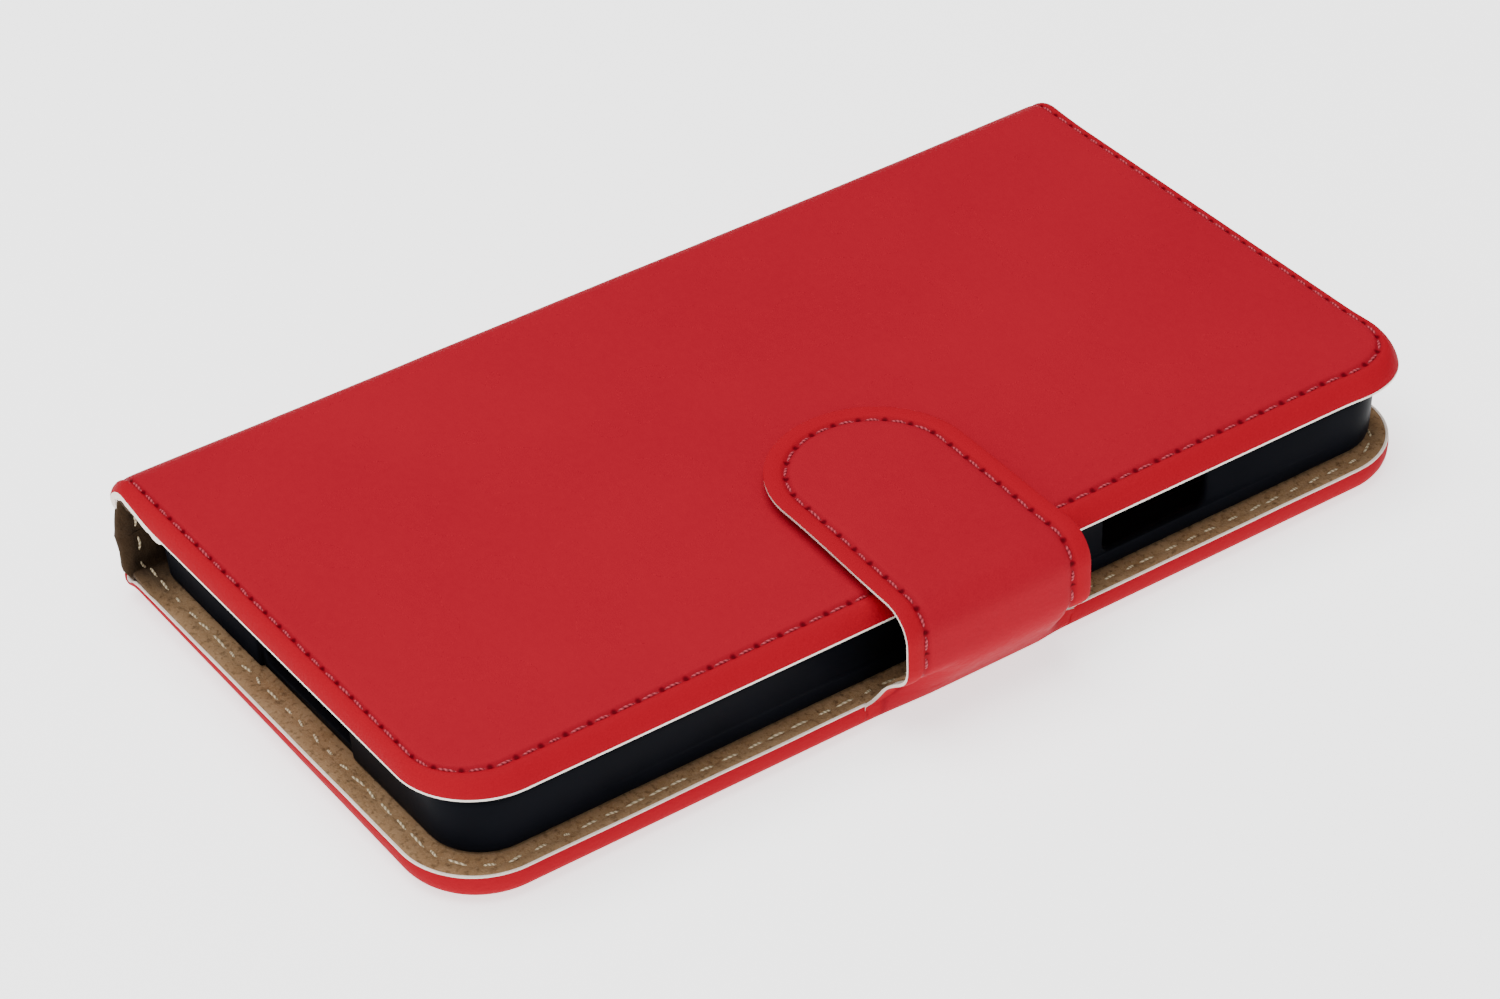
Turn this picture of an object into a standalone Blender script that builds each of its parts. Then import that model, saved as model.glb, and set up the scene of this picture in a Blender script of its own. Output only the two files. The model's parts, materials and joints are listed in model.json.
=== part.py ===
"""Book-style phone wallet case, closed and lying on its back cover.

Frame: X runs across the case, from the spine (-X) to the closing strap (+X). Y runs along the
spine. Z is up, with the back cover's underside on z = 0 and the origin at the bottom centre of
the whole closed case. Lengths below are in millimetres and are turned into metres by MM.

Bodies: back cover (fixed), spine, front cover, strap side and strap tab. Each fold of the leather
is a hinge on the leather's outer face, in the middle of its bend.
"""
import math

import bmesh
import bpy
from mathutils import Vector

MM = 0.001

# --- Driving dimensions -------------------------------------------------------------------------
LENGTH = 150.0              # back cover, along Y
FRONT_LENGTH = 149.0        # front cover, along Y
COVER_WIDTH = 81.3          # spine's outer face to the cover's cut edge
STRAP_BULGE = 6.3           # how far the closed strap stands out past the cut edge
CORNER_RADIUS = 11.0        # plan radius of the corners on the strap side
BACK_HEIGHT = 4.1           # underside to the lining's face on the back cover
FRONT_UNDER = 15.3          # lining's face of the closed front cover
FRONT_TOP = 18.3            # outer face of the closed front cover
TAB_TOP = 20.2              # outer face of the tab lying on the front cover

LEATHER = 0.8               # outer leather
STRAP_LEATHER = 0.7
LINING = 0.75
STRAP_LINING = 0.45
TAB_BOARD = 0.45
PLY_GAP = 0.1               # between plies that lie flat on each other
FOLD_GAP = 0.28             # between two pieces of leather that meet at a fold
SLIDE_GAP = 0.3             # between pieces side by side
BEDDING_GAP = 0.05          # between pieces that are glued or sewn flat together
CUTTER_MARGIN = 1.0         # how far a cutter runs past what it cuts

SPINE_RADIUS = 4.0          # outer radius of the leather where it turns into the spine
BACK_ROLL = 2.5             # outer radius of the back cover's rolled edge
FRONT_ROLL = 2.2            # outer radius of the front cover's rolled edge
BOARD_INSET = 3.8           # board's edge inside the cut edge
SPINE_LINING_INSET = 1.8    # spine lining's ends inside the leather's
SPINE_LINING_GAP = 1.8      # gap in the lining at a fold, along the leather's outer face
RIM_TAPER = 7.0             # length over which the rolled edge runs out beside the spine

STRAP_HALF_WIDTH = 14.3
STRAP_FLARE = 3.0           # fillet where the strap grows out of the cover's edge
STRAP_ROOT_RADIUS = 4.0
STRAP_SLOPE = math.radians(55.0)
STRAP_BELLY_RADIUS = 8.0
STRAP_TOP_RADIUS = 4.5
STRAP_HINGE_OUT = 1.5       # strap's fold, outside the cut edge
TAB_REACH = 34.4            # cut edge of the cover to the tab's tip
TAB_TIP_HALF_WIDTH = 13.7
TAB_TIP_SIDE = 0.6          # tip's offset along Y

CRADLE_EDGE_INSET = 3.1     # cradle's wall inside the cut edge
CRADLE_LENGTH = 142.6
CRADLE_WIDTH = 73.6
CRADLE_TOP = 12.7
CRADLE_RADIUS = 8.0
CRADLE_WALL = 1.3
CRADLE_FLOOR = 1.2
CRADLE_FOOT = 0.8           # chamfer round the foot
CRADLE_LEAN = 0.3           # how much further in the wall's foot is than its top
CRADLE_LIP = 0.5            # lip that holds the phone, inwards from the wall
CRADLE_LIP_DROP = 0.7
ADHESIVE = 0.25
ADHESIVE_INSET = 5.0

PORT_WIDTH = 23.0           # charging port, -Y wall
BUTTON_FROM = 23.8          # side button, +X wall
BUTTON_TO = 41.0
BUTTON_SILL = 7.0
JACK_WIDTH = 16.0           # top socket, +Y wall
JACK_SIDE = -14.0
WINDOW_LENGTH = 24.0        # camera window, along Y
WINDOW_WIDTH = 14.0
WINDOW_FROM_TOP = 24.0      # window's middle below the cradle's +Y end

CASH_PANEL = 0.55
CARD_PANEL = 0.45
CARD_COUNT = 3
CARD_HALF_LENGTH = 46.0     # takes an 85.6 mm card
CARD_DEPTH = 54.0           # takes a 54 mm card
CARD_STAGGER = 10.0
CARD_EDGE_INSET = 1.0       # card pockets' edge inside the cash pocket's
POCKET_EDGE_INSET = 6.5
CASH_HALF_LENGTH = 70.0
CASH_WIDTH = 65.0

MAGNET_RADIUS = 7.0
KEEPER_RADIUS = 7.5
KEEPER_THICKNESS = 0.9

THREAD_RADIUS = 0.2
THREAD_GAP = 0.06
BACK_SEAM_SIDE_INSET = 1.9  # seam to the long cut edge
BACK_SEAM_END_INSET = 3.0   # seam to the short cut edge
FRONT_SEAM_SIDE_INSET = 3.0
FRONT_SEAM_END_INSET = 2.4
TAB_SEAM_INSET = 2.8

CORNER_STEPS = 6
FOLD_STEPS = 4
TIP_STEPS = 14
RIM_STEPS = 4

# --- Derived places -----------------------------------------------------------------------------
X_SPINE = -(COVER_WIDTH + STRAP_BULGE) / 2
X_EDGE = X_SPINE + COVER_WIDTH
X_STRAP = X_EDGE + STRAP_BULGE
X_FOLD = X_SPINE + SPINE_RADIUS
FOLD_DROP = SPINE_RADIUS * (1 - math.cos(math.pi / 4))
BACK_HINGE = (X_SPINE + FOLD_DROP, FOLD_DROP)
FRONT_HINGE = (X_SPINE + FOLD_DROP, FRONT_TOP - FOLD_DROP)
TAB_ARC_X = X_STRAP - STRAP_TOP_RADIUS
TAB_ARC_Z = TAB_TOP - STRAP_TOP_RADIUS
TAB_HINGE = (
    TAB_ARC_X + STRAP_TOP_RADIUS * math.cos(math.pi / 4),
    TAB_ARC_Z + STRAP_TOP_RADIUS * math.sin(math.pi / 4),
)
TIP_CENTRE_X = X_EDGE - TAB_REACH + TAB_TIP_HALF_WIDTH
CRADLE_X1 = X_EDGE - CRADLE_EDGE_INSET
CRADLE_X0 = CRADLE_X1 - CRADLE_WIDTH
CRADLE_MID = (CRADLE_X0 + CRADLE_X1) / 2
CRADLE_END = CRADLE_LENGTH / 2
ADHESIVE_Z = BACK_HEIGHT + BEDDING_GAP
CRADLE_Z = ADHESIVE_Z + ADHESIVE + BEDDING_GAP
FLOOR_Z = CRADLE_Z + CRADLE_FLOOR


# --- Scene, materials and meshes ----------------------------------------------------------------
def clear_scene():
    for item in list(bpy.data.objects):
        bpy.data.objects.remove(item, do_unlink=True)


def make_material(name, colour, roughness, metallic=0.0):
    material = bpy.data.materials.new(name)
    material.use_nodes = True
    shader = material.node_tree.nodes["Principled BSDF"]
    shader.inputs["Base Color"].default_value = (*colour, 1.0)
    shader.inputs["Roughness"].default_value = roughness
    shader.inputs["Metallic"].default_value = metallic
    material.diffuse_color = (*colour, 1.0)
    return material


def add_object(name, bm, material, parent):
    """Turn a bmesh in millimetres into a named object in metres under its body's empty."""
    bmesh.ops.recalc_face_normals(bm, faces=bm.faces)
    bmesh.ops.scale(bm, vec=Vector((MM, MM, MM)), verts=bm.verts)
    origin = parent.location
    bmesh.ops.translate(bm, vec=-origin, verts=bm.verts)
    mesh = bpy.data.meshes.new(name)
    bm.to_mesh(mesh)
    bm.free()
    mesh.materials.append(material)
    item = bpy.data.objects.new(name, mesh)
    bpy.context.scene.collection.objects.link(item)
    item.parent = parent
    return item


def add_body(name, parent=None, x=0.0, z=0.0):
    """An empty on the body's hinge axis, which runs along Y through (x, z)."""
    empty = bpy.data.objects.new(name, None)
    bpy.context.scene.collection.objects.link(empty)
    empty.location = (x * MM, 0.0, z * MM)
    if parent is not None:
        empty.parent = parent
        empty.matrix_parent_inverse = parent.matrix_basis.inverted()
    return empty


def hide_as_guide(item):
    item.hide_render = True
    item.display_type = "WIRE"


def cut(item, cutter):
    modifier = item.modifiers.new(cutter.name, "BOOLEAN")
    modifier.operation = "DIFFERENCE"
    modifier.solver = "EXACT"
    modifier.object = cutter


# --- Outlines and profiles ----------------------------------------------------------------------
def arc_points(centre, radius, start, end, steps):
    """Points on a circle in a plane, from angle start to angle end, both included."""
    angles = [start + (end - start) * step / steps for step in range(steps + 1)]
    return [(centre[0] + radius * math.cos(a), centre[1] + radius * math.sin(a)) for a in angles]


def panel_outline(x0, x1, half_y, spine_radius, edge_radius):
    """Closed plan outline, counter-clockwise, with one radius at x0 and another at x1."""
    points = []
    corners = (
        (x0 + spine_radius, -half_y + spine_radius, spine_radius, math.pi),
        (x1 - edge_radius, -half_y + edge_radius, edge_radius, 1.5 * math.pi),
        (x1 - edge_radius, half_y - edge_radius, edge_radius, 0.0),
        (x0 + spine_radius, half_y - spine_radius, spine_radius, 0.5 * math.pi),
    )
    for cx, cy, radius, start in corners:
        if radius > 0:
            points += arc_points((cx, cy), radius, start, start + math.pi / 2, CORNER_STEPS)
        else:
            points.append((cx, cy))
    return points


def offset_profile(profile, distance):
    """Shift an open polyline to its left by a distance, keeping the bends parallel."""
    shifted = []
    last = len(profile) - 1
    for index, point in enumerate(profile):
        before = Vector(point) - Vector(profile[max(index - 1, 0)])
        after = Vector(profile[min(index + 1, last)]) - Vector(point)
        directions = [leg.normalized() for leg in (before, after) if leg.length > 0]
        tangent = sum(directions, Vector((0.0, 0.0))).normalized()
        widen = 1.0 / max(tangent.dot(directions[0]), 0.5)
        normal = Vector((-tangent.y, tangent.x))
        shifted.append(tuple(Vector(point) + normal * distance * widen))
    return shifted


def trimmed(profile, start=0.0, end=0.0):
    """Shorten an open polyline at its first and last points along its own direction."""
    points = [Vector(point) for point in profile]
    points[0] += (points[1] - points[0]).normalized() * start
    points[-1] += (points[-2] - points[-1]).normalized() * end
    return [tuple(point) for point in points]


def strap_lower_profile():
    """Outer face of the strap from the back cover's underside up to its straight side."""
    root = (X_EDGE - BACK_ROLL, STRAP_ROOT_RADIUS)
    bend_end = STRAP_SLOPE - math.pi / 2
    bend = arc_points(root, STRAP_ROOT_RADIUS, -math.pi / 2, bend_end, RIM_STEPS - 1)
    start_x, start_z = bend[-1]
    belly_turn = math.pi / 2 - STRAP_SLOPE
    belly_x = X_STRAP - STRAP_BELLY_RADIUS * (1 - math.cos(belly_turn))
    belly_z = start_z + math.tan(STRAP_SLOPE) * (belly_x - start_x)
    centre = (X_STRAP - STRAP_BELLY_RADIUS, belly_z + STRAP_BELLY_RADIUS * math.sin(belly_turn))
    belly = arc_points(centre, STRAP_BELLY_RADIUS, -belly_turn, 0.0, FOLD_STEPS)
    hinge_x = X_EDGE + STRAP_HINGE_OUT
    hinge = (hinge_x, start_z + math.tan(STRAP_SLOPE) * (hinge_x - start_x))
    return bend, hinge, belly


ROOT_BEND, STRAP_HINGE, BELLY = strap_lower_profile()


# --- Solid builders -----------------------------------------------------------------------------
def skin_rings(bm, rings):
    """Join a list of closed rings, each with the same number of points, and cap both ends."""
    loops = [[bm.verts.new(point) for point in ring] for ring in rings]
    for lower, upper in zip(loops, loops[1:]):
        count = len(lower)
        for index in range(count):
            following = (index + 1) % count
            bm.faces.new((lower[index], lower[following], upper[following], upper[index]))
    bm.faces.new(loops[0])
    bm.faces.new(loops[-1])


def plate(name, outline, z0, z1, material, parent):
    bm = bmesh.new()
    skin_rings(bm, [[(x, y, z) for x, y in outline] for z in (z0, z1)])
    return add_object(name, bm, material, parent)


def strip(name, profile, thickness, y0, y1, material, parent):
    """A bent strip: an outer profile in X and Z, thickened to its left, extruded along Y."""
    section = list(profile) + list(reversed(offset_profile(profile, thickness)))
    bm = bmesh.new()
    skin_rings(bm, [[(x, y, z) for x, z in section] for y in (y0, y1)])
    return add_object(name, bm, material, parent)


def thread(name, points, material, parent):
    """A round thread through the given points."""
    curve = bpy.data.curves.new(name, "CURVE")
    curve.dimensions = "3D"
    curve.bevel_depth = THREAD_RADIUS * MM
    curve.bevel_resolution = 1
    curve.use_fill_caps = True
    spline = curve.splines.new("POLY")
    spline.points.add(len(points) - 1)
    for place, (x, y, z) in zip(spline.points, points):
        place.co = (x * MM - parent.location.x, y * MM, z * MM - parent.location.z, 1.0)
    curve.materials.append(material)
    item = bpy.data.objects.new(name, curve)
    bpy.context.scene.collection.objects.link(item)
    item.parent = parent
    return item


def cutter_prism(name, outline, z0, z1, material, parent):
    item = plate(name, outline, z0, z1, material, parent)
    hide_as_guide(item)
    return item


# --- Outer leather ------------------------------------------------------------------------------
def rim_profile(roll, height):
    """Steps outwards and upwards from the flat face round the roll to the cut edge."""
    turned = arc_points((0.0, roll), roll, -math.pi / 2, 0.0, RIM_STEPS - 1)
    return turned + [(roll, height)]


def fold_profile(turn):
    """Steps outwards and upwards from the flat face round half of the spine's fold."""
    stop = turn - FOLD_GAP / (2 * SPINE_RADIUS)
    centre = (0.0, SPINE_RADIUS)
    return arc_points(centre, SPINE_RADIUS, -math.pi / 2, stop - math.pi / 2, RIM_STEPS)


def edge_chain(half_y, roll, with_strap):
    """Base points round the cover's three rolled edges, as (x, y, outward x, outward y, kind)."""
    base_y = half_y - roll
    base_radius = CORNER_RADIUS - roll
    chain = [(X_FOLD, -base_y, 0.0, -1.0, "spine"), (X_FOLD + RIM_TAPER, -base_y, 0.0, -1.0, "rim")]
    centre = (X_EDGE - CORNER_RADIUS, -half_y + CORNER_RADIUS)
    for x, y in arc_points(centre, base_radius, -math.pi / 2, 0.0, CORNER_STEPS):
        chain.append((x, y, (x - centre[0]) / base_radius, (y - centre[1]) / base_radius, "rim"))
    if with_strap:
        for y, kind in ((-STRAP_HALF_WIDTH - STRAP_FLARE, "rim"), (-STRAP_HALF_WIDTH, "strap")):
            chain.append((X_EDGE - roll, y, 1.0, 0.0, kind))
    return chain + [(x, -y, nx, -ny, kind) for x, y, nx, ny, kind in reversed(chain)]


def cover_leather(name, half_y, roll, height, face_z, up, with_strap, material, parent):
    """Leather skin of a cover: flat face, rolled edges on three sides, half a fold at the spine."""
    rim = rim_profile(roll, height)
    fold = fold_profile(math.pi / 4)
    root_end = Vector(STRAP_HINGE) - Vector((FOLD_GAP / 4, FOLD_GAP / 4))
    root = list(ROOT_BEND) + [tuple(root_end)]
    chain = edge_chain(half_y, roll, with_strap)
    bm = bmesh.new()
    loops = []
    for step in range(RIM_STEPS + 1):
        loop = []
        for x, y, nx, ny, kind in chain:
            out, rise = rim[step]
            place = (x + nx * out, y + ny * out, rise)
            if kind == "spine":
                place = (X_FOLD - fold[step][0], y + ny * out, fold[step][1])
            if kind == "strap":
                place = (root[step][0], y, root[step][1])
            loop.append(bm.verts.new((place[0], place[1], face_z + up * place[2])))
        loops.append(loop)
    bm.faces.new(loops[0])
    for lower, upper in zip(loops, loops[1:]):
        count = len(lower)
        for index in range(count):
            following = (index + 1) % count
            bm.faces.new((lower[index], lower[following], upper[following], upper[index]))
    item = add_object(name, bm, material, parent)
    item.data.flip_normals()
    modifier = item.modifiers.new("leather", "SOLIDIFY")
    modifier.thickness = LEATHER * MM
    modifier.use_even_offset = True
    outward = sum((face.normal.z for face in item.data.polygons if len(face.vertices) > 4), 0.0)
    modifier.offset = -1.0 if outward * up < 0 else 1.0
    return item


def spine_profile(gap):
    """Outer face of the spine, bottom to top, with a gap at the middle of each fold."""
    half_gap = gap / (2 * SPINE_RADIUS)
    low_centre = (X_FOLD, SPINE_RADIUS)
    high_centre = (X_FOLD, FRONT_TOP - SPINE_RADIUS)
    low = arc_points(low_centre, SPINE_RADIUS, 1.25 * math.pi - half_gap, math.pi, FOLD_STEPS)
    high = arc_points(high_centre, SPINE_RADIUS, math.pi, 0.75 * math.pi + half_gap, FOLD_STEPS)
    return low + high


def make_spine(parts, body):
    outer = spine_profile(FOLD_GAP)
    inwards = -(LEATHER + PLY_GAP)
    strip("outer_leather_spine", outer, -LEATHER, -FRONT_LENGTH / 2, FRONT_LENGTH / 2,
          parts["leather"], body)
    lining_face = offset_profile(spine_profile(SPINE_LINING_GAP), inwards)
    lining_end = FRONT_LENGTH / 2 - SPINE_LINING_INSET
    strip("lining_spine", lining_face, -LINING, -lining_end, lining_end, parts["lining"], body)
    thread_x = X_SPINE + LEATHER + PLY_GAP + LINING + THREAD_GAP + THREAD_RADIUS
    low_z = SPINE_RADIUS + 2 * THREAD_RADIUS
    high_z = FRONT_TOP - SPINE_RADIUS - 2 * THREAD_RADIUS
    for number, side in enumerate((-1, 1), start=1):
        y = side * (LENGTH / 2 - BACK_SEAM_END_INSET)
        thread(f"seam_thread_spine_{number}", [(thread_x, y, low_z), (thread_x, y, high_z)],
               parts["cream_thread"], body)


# --- Back cover ---------------------------------------------------------------------------------
def seam_route(half_y, side_inset, end_inset, z):
    """The seam's way round three sides of a cover, starting and ending beside the spine."""
    x1 = X_EDGE - side_inset
    y1 = half_y - end_inset
    radius = CORNER_RADIUS - (side_inset + end_inset) / 2
    start_x = X_FOLD + SLIDE_GAP
    low = arc_points((x1 - radius, -y1 + radius), radius, -math.pi / 2, 0.0, CORNER_STEPS)
    high = arc_points((x1 - radius, y1 - radius), radius, 0.0, math.pi / 2, CORNER_STEPS)
    plan = [(start_x, -y1)] + low + high + [(start_x, y1)]
    return [(x, y, z) for x, y in plan]


def window_outline():
    """The camera window: a straight-sided slot with round ends, long way along Y."""
    radius = WINDOW_WIDTH / 2
    straight = (WINDOW_LENGTH - WINDOW_WIDTH) / 2
    middle = CRADLE_END - WINDOW_FROM_TOP
    top = arc_points((CRADLE_MID, middle + straight), radius, 0.0, math.pi, 2 * CORNER_STEPS)
    bottom = arc_points((CRADLE_MID, middle - straight), radius, math.pi, 2 * math.pi,
                        2 * CORNER_STEPS)
    return top + bottom


def cradle_ring(inset, z):
    outline = panel_outline(CRADLE_X0 + inset, CRADLE_X1 - inset, CRADLE_END - inset,
                            CRADLE_RADIUS - inset, CRADLE_RADIUS - inset)
    return [(x, y, z) for x, y in outline]


def make_cradle(parts, body):
    """Open-topped tray with a chamfered foot and a small lip that clips over the phone."""
    wall = CRADLE_WALL
    lip_low = CRADLE_TOP - CRADLE_LIP_DROP
    rings = [
        cradle_ring(CRADLE_LEAN + CRADLE_FOOT, CRADLE_Z),
        cradle_ring(CRADLE_LEAN, CRADLE_Z + CRADLE_FOOT),
        cradle_ring(0.0, lip_low),
        cradle_ring(CRADLE_LIP / 2, CRADLE_TOP),
        cradle_ring(wall + CRADLE_LIP / 2, CRADLE_TOP),
        cradle_ring(wall + CRADLE_LIP, lip_low),
        cradle_ring(wall, lip_low - CRADLE_LIP),
        cradle_ring(wall + CRADLE_LEAN, FLOOR_Z + CRADLE_FOOT),
        cradle_ring(wall + CRADLE_LEAN + CRADLE_FOOT, FLOOR_Z),
    ]
    bm = bmesh.new()
    skin_rings(bm, rings)
    return add_object("phone_cradle", bm, parts["plastic"], body)


def box_outline(x0, x1, y0, y1):
    return [(x0, y0), (x1, y0), (x1, y1), (x0, y1)]


def cut_cradle(cradle, parts, body):
    """Openings in the cradle's walls for the phone's socket, side button and top socket."""
    depth = CRADLE_WALL + CRADLE_LIP + SLIDE_GAP
    above = CRADLE_TOP + CUTTER_MARGIN
    port = box_outline(CRADLE_MID - PORT_WIDTH / 2, CRADLE_MID + PORT_WIDTH / 2,
                       -CRADLE_END - CUTTER_MARGIN, -CRADLE_END + depth)
    button = box_outline(CRADLE_X1 - depth, CRADLE_X1 + CUTTER_MARGIN, BUTTON_FROM, BUTTON_TO)
    jack_x = CRADLE_MID + JACK_SIDE
    jack = box_outline(jack_x - JACK_WIDTH / 2, jack_x + JACK_WIDTH / 2,
                       CRADLE_END - depth, CRADLE_END + CUTTER_MARGIN)
    sills = (("port_cutter", port, CRADLE_Z - CUTTER_MARGIN), ("button_cutter", button, BUTTON_SILL),
             ("jack_cutter", jack, BUTTON_SILL))
    for name, outline, sill in sills:
        cut(cradle, cutter_prism(name, outline, sill, above, parts["plastic"], body))


def make_back_cover(parts, body):
    leather = cover_leather("outer_leather_back", LENGTH / 2, BACK_ROLL, BACK_HEIGHT - PLY_GAP,
                            0.0, 1, True, parts["leather"], body)
    board_low = LEATHER + PLY_GAP
    board_high = BACK_HEIGHT - LINING - PLY_GAP
    board = plate("stiffener_board_back",
                  panel_outline(X_FOLD, X_EDGE - BOARD_INSET, LENGTH / 2 - BOARD_INSET,
                                0.0, CORNER_RADIUS - BOARD_INSET),
                  board_low, board_high, parts["board"], body)
    lining_inset = LEATHER + 2 * PLY_GAP
    lining = plate("lining_back",
                   panel_outline(X_FOLD + RIM_TAPER, X_EDGE - lining_inset,
                                 LENGTH / 2 - lining_inset, 0.0, CORNER_RADIUS - lining_inset),
                   BACK_HEIGHT - LINING, BACK_HEIGHT, parts["lining"], body)
    adhesive = plate("cradle_adhesive_sheet",
                     panel_outline(CRADLE_X0 + ADHESIVE_INSET, CRADLE_X1 - ADHESIVE_INSET,
                                   CRADLE_END - ADHESIVE_INSET, CRADLE_RADIUS / 2,
                                   CRADLE_RADIUS / 2),
                     ADHESIVE_Z, ADHESIVE_Z + ADHESIVE, parts["adhesive"], body)
    cradle = make_cradle(parts, body)
    cut_cradle(cradle, parts, body)
    window = cutter_prism("window_cutter", window_outline(), -CUTTER_MARGIN, FLOOR_Z + CUTTER_MARGIN,
                          parts["plastic"], body)
    for piece in (leather, board, lining, adhesive, cradle):
        cut(piece, window)
    thread_z = BACK_HEIGHT + THREAD_GAP + THREAD_RADIUS
    thread("seam_thread_back",
           seam_route(LENGTH / 2, BACK_SEAM_SIDE_INSET, BACK_SEAM_END_INSET, thread_z),
           parts["cream_thread"], body)


# --- Front cover --------------------------------------------------------------------------------
def make_front_cover(parts, body):
    half_y = FRONT_LENGTH / 2
    cover_leather("outer_leather_front", half_y, FRONT_ROLL, FRONT_TOP - FRONT_UNDER - PLY_GAP,
                  FRONT_TOP, -1, False, parts["leather"], body)
    board_high = FRONT_TOP - LEATHER - PLY_GAP
    board_low = FRONT_UNDER + LINING + PLY_GAP
    board = plate("stiffener_board_front",
                  panel_outline(X_FOLD, X_EDGE - BOARD_INSET, half_y - BOARD_INSET,
                                0.0, CORNER_RADIUS - BOARD_INSET),
                  board_low, board_high, parts["board"], body)
    lining_inset = LEATHER + 2 * PLY_GAP
    plate("lining_front",
          panel_outline(X_FOLD + RIM_TAPER, X_EDGE - lining_inset, half_y - lining_inset,
                        0.0, CORNER_RADIUS - lining_inset),
          FRONT_UNDER, FRONT_UNDER + LINING, parts["lining"], body)
    thread_z = FRONT_UNDER - THREAD_GAP - THREAD_RADIUS
    thread("seam_thread_front",
           seam_route(half_y, FRONT_SEAM_SIDE_INSET, FRONT_SEAM_END_INSET, thread_z),
           parts["cream_thread"], body)
    make_keeper(board, board_low, board_high, parts, body)
    make_pockets(parts, body)


def disc_outline(radius):
    """A circle about the middle of the tab's round tip."""
    return arc_points((TIP_CENTRE_X, TAB_TIP_SIDE), radius, 0.0, 2 * math.pi, 4 * CORNER_STEPS)[:-1]


def make_keeper(board, board_low, board_high, parts, body):
    """Steel disc let into the front board, where the tab's magnet holds on to it."""
    middle = (board_low + board_high) / 2
    plate("clasp_keeper_plate", disc_outline(KEEPER_RADIUS), middle - KEEPER_THICKNESS / 2,
          middle + KEEPER_THICKNESS / 2, parts["steel"], body)
    recess = cutter_prism("keeper_cutter", disc_outline(KEEPER_RADIUS + SLIDE_GAP),
                          board_low - CUTTER_MARGIN, board_high + CUTTER_MARGIN, parts["steel"], body)
    cut(board, recess)


def make_pockets(parts, body):
    """A long cash pocket with a stack of staggered card pockets on it, mouths to the spine."""
    x1 = X_EDGE - POCKET_EDGE_INSET
    cash_top = FRONT_UNDER - PLY_GAP
    plate("cash_pocket_panel",
          panel_outline(x1 - CASH_WIDTH, x1, CASH_HALF_LENGTH, 0.0,
                        CORNER_RADIUS - POCKET_EDGE_INSET),
          cash_top - CASH_PANEL, cash_top, parts["leather"], body)
    for number in range(1, CARD_COUNT + 1):
        top = cash_top - CASH_PANEL - BEDDING_GAP - (number - 1) * (CARD_PANEL + BEDDING_GAP)
        mouth = x1 - CARD_DEPTH + (number - 1) * CARD_STAGGER
        outline = panel_outline(mouth, x1 - CARD_EDGE_INSET, CARD_HALF_LENGTH, 0.0, 0.0)
        plate(f"card_pocket_{number}", outline, top - CARD_PANEL, top, parts["leather"], body)


# --- Strap --------------------------------------------------------------------------------------
def strap_side_profile():
    """Outer face of the strap's side, from its fold at the cover up to its fold at the tab."""
    top = arc_points((TAB_ARC_X, TAB_ARC_Z), STRAP_TOP_RADIUS, 0.0, math.pi / 4, FOLD_STEPS)
    return trimmed([STRAP_HINGE] + BELLY + top, FOLD_GAP / 2, FOLD_GAP / 2)


def make_strap_side(parts, body):
    outer = strap_side_profile()
    strip("strap_leather_side", outer, STRAP_LEATHER, -STRAP_HALF_WIDTH, STRAP_HALF_WIDTH,
          parts["leather"], body)
    inner = offset_profile(outer, STRAP_LEATHER + PLY_GAP)
    strip("strap_lining_side", inner, STRAP_LINING, -STRAP_HALF_WIDTH, STRAP_HALF_WIDTH,
          parts["lining"], body)


def tab_stations(start, inset):
    """Half-widths along the tab: (x, low y, high y), from the fold to the round tip."""
    tip_radius = TAB_TIP_HALF_WIDTH - inset
    stations = [(start, inset - STRAP_HALF_WIDTH, STRAP_HALF_WIDTH - inset)]
    for step in range(TIP_STEPS // 2 + 1):
        angle = math.pi / 2 * step / (TIP_STEPS // 2)
        half = tip_radius * math.cos(angle)
        x = TIP_CENTRE_X - tip_radius * math.sin(angle)
        stations.append((x, TAB_TIP_SIDE - half, TAB_TIP_SIDE + half))
    return stations


def tab_outline(start, inset):
    """Closed plan outline of the tab's flat part."""
    stations = tab_stations(start, inset)
    low = [(x, y_low) for x, y_low, _ in stations]
    high = [(x, y_high) for x, _, y_high in stations[:-1]]
    return low + list(reversed(high))


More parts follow.
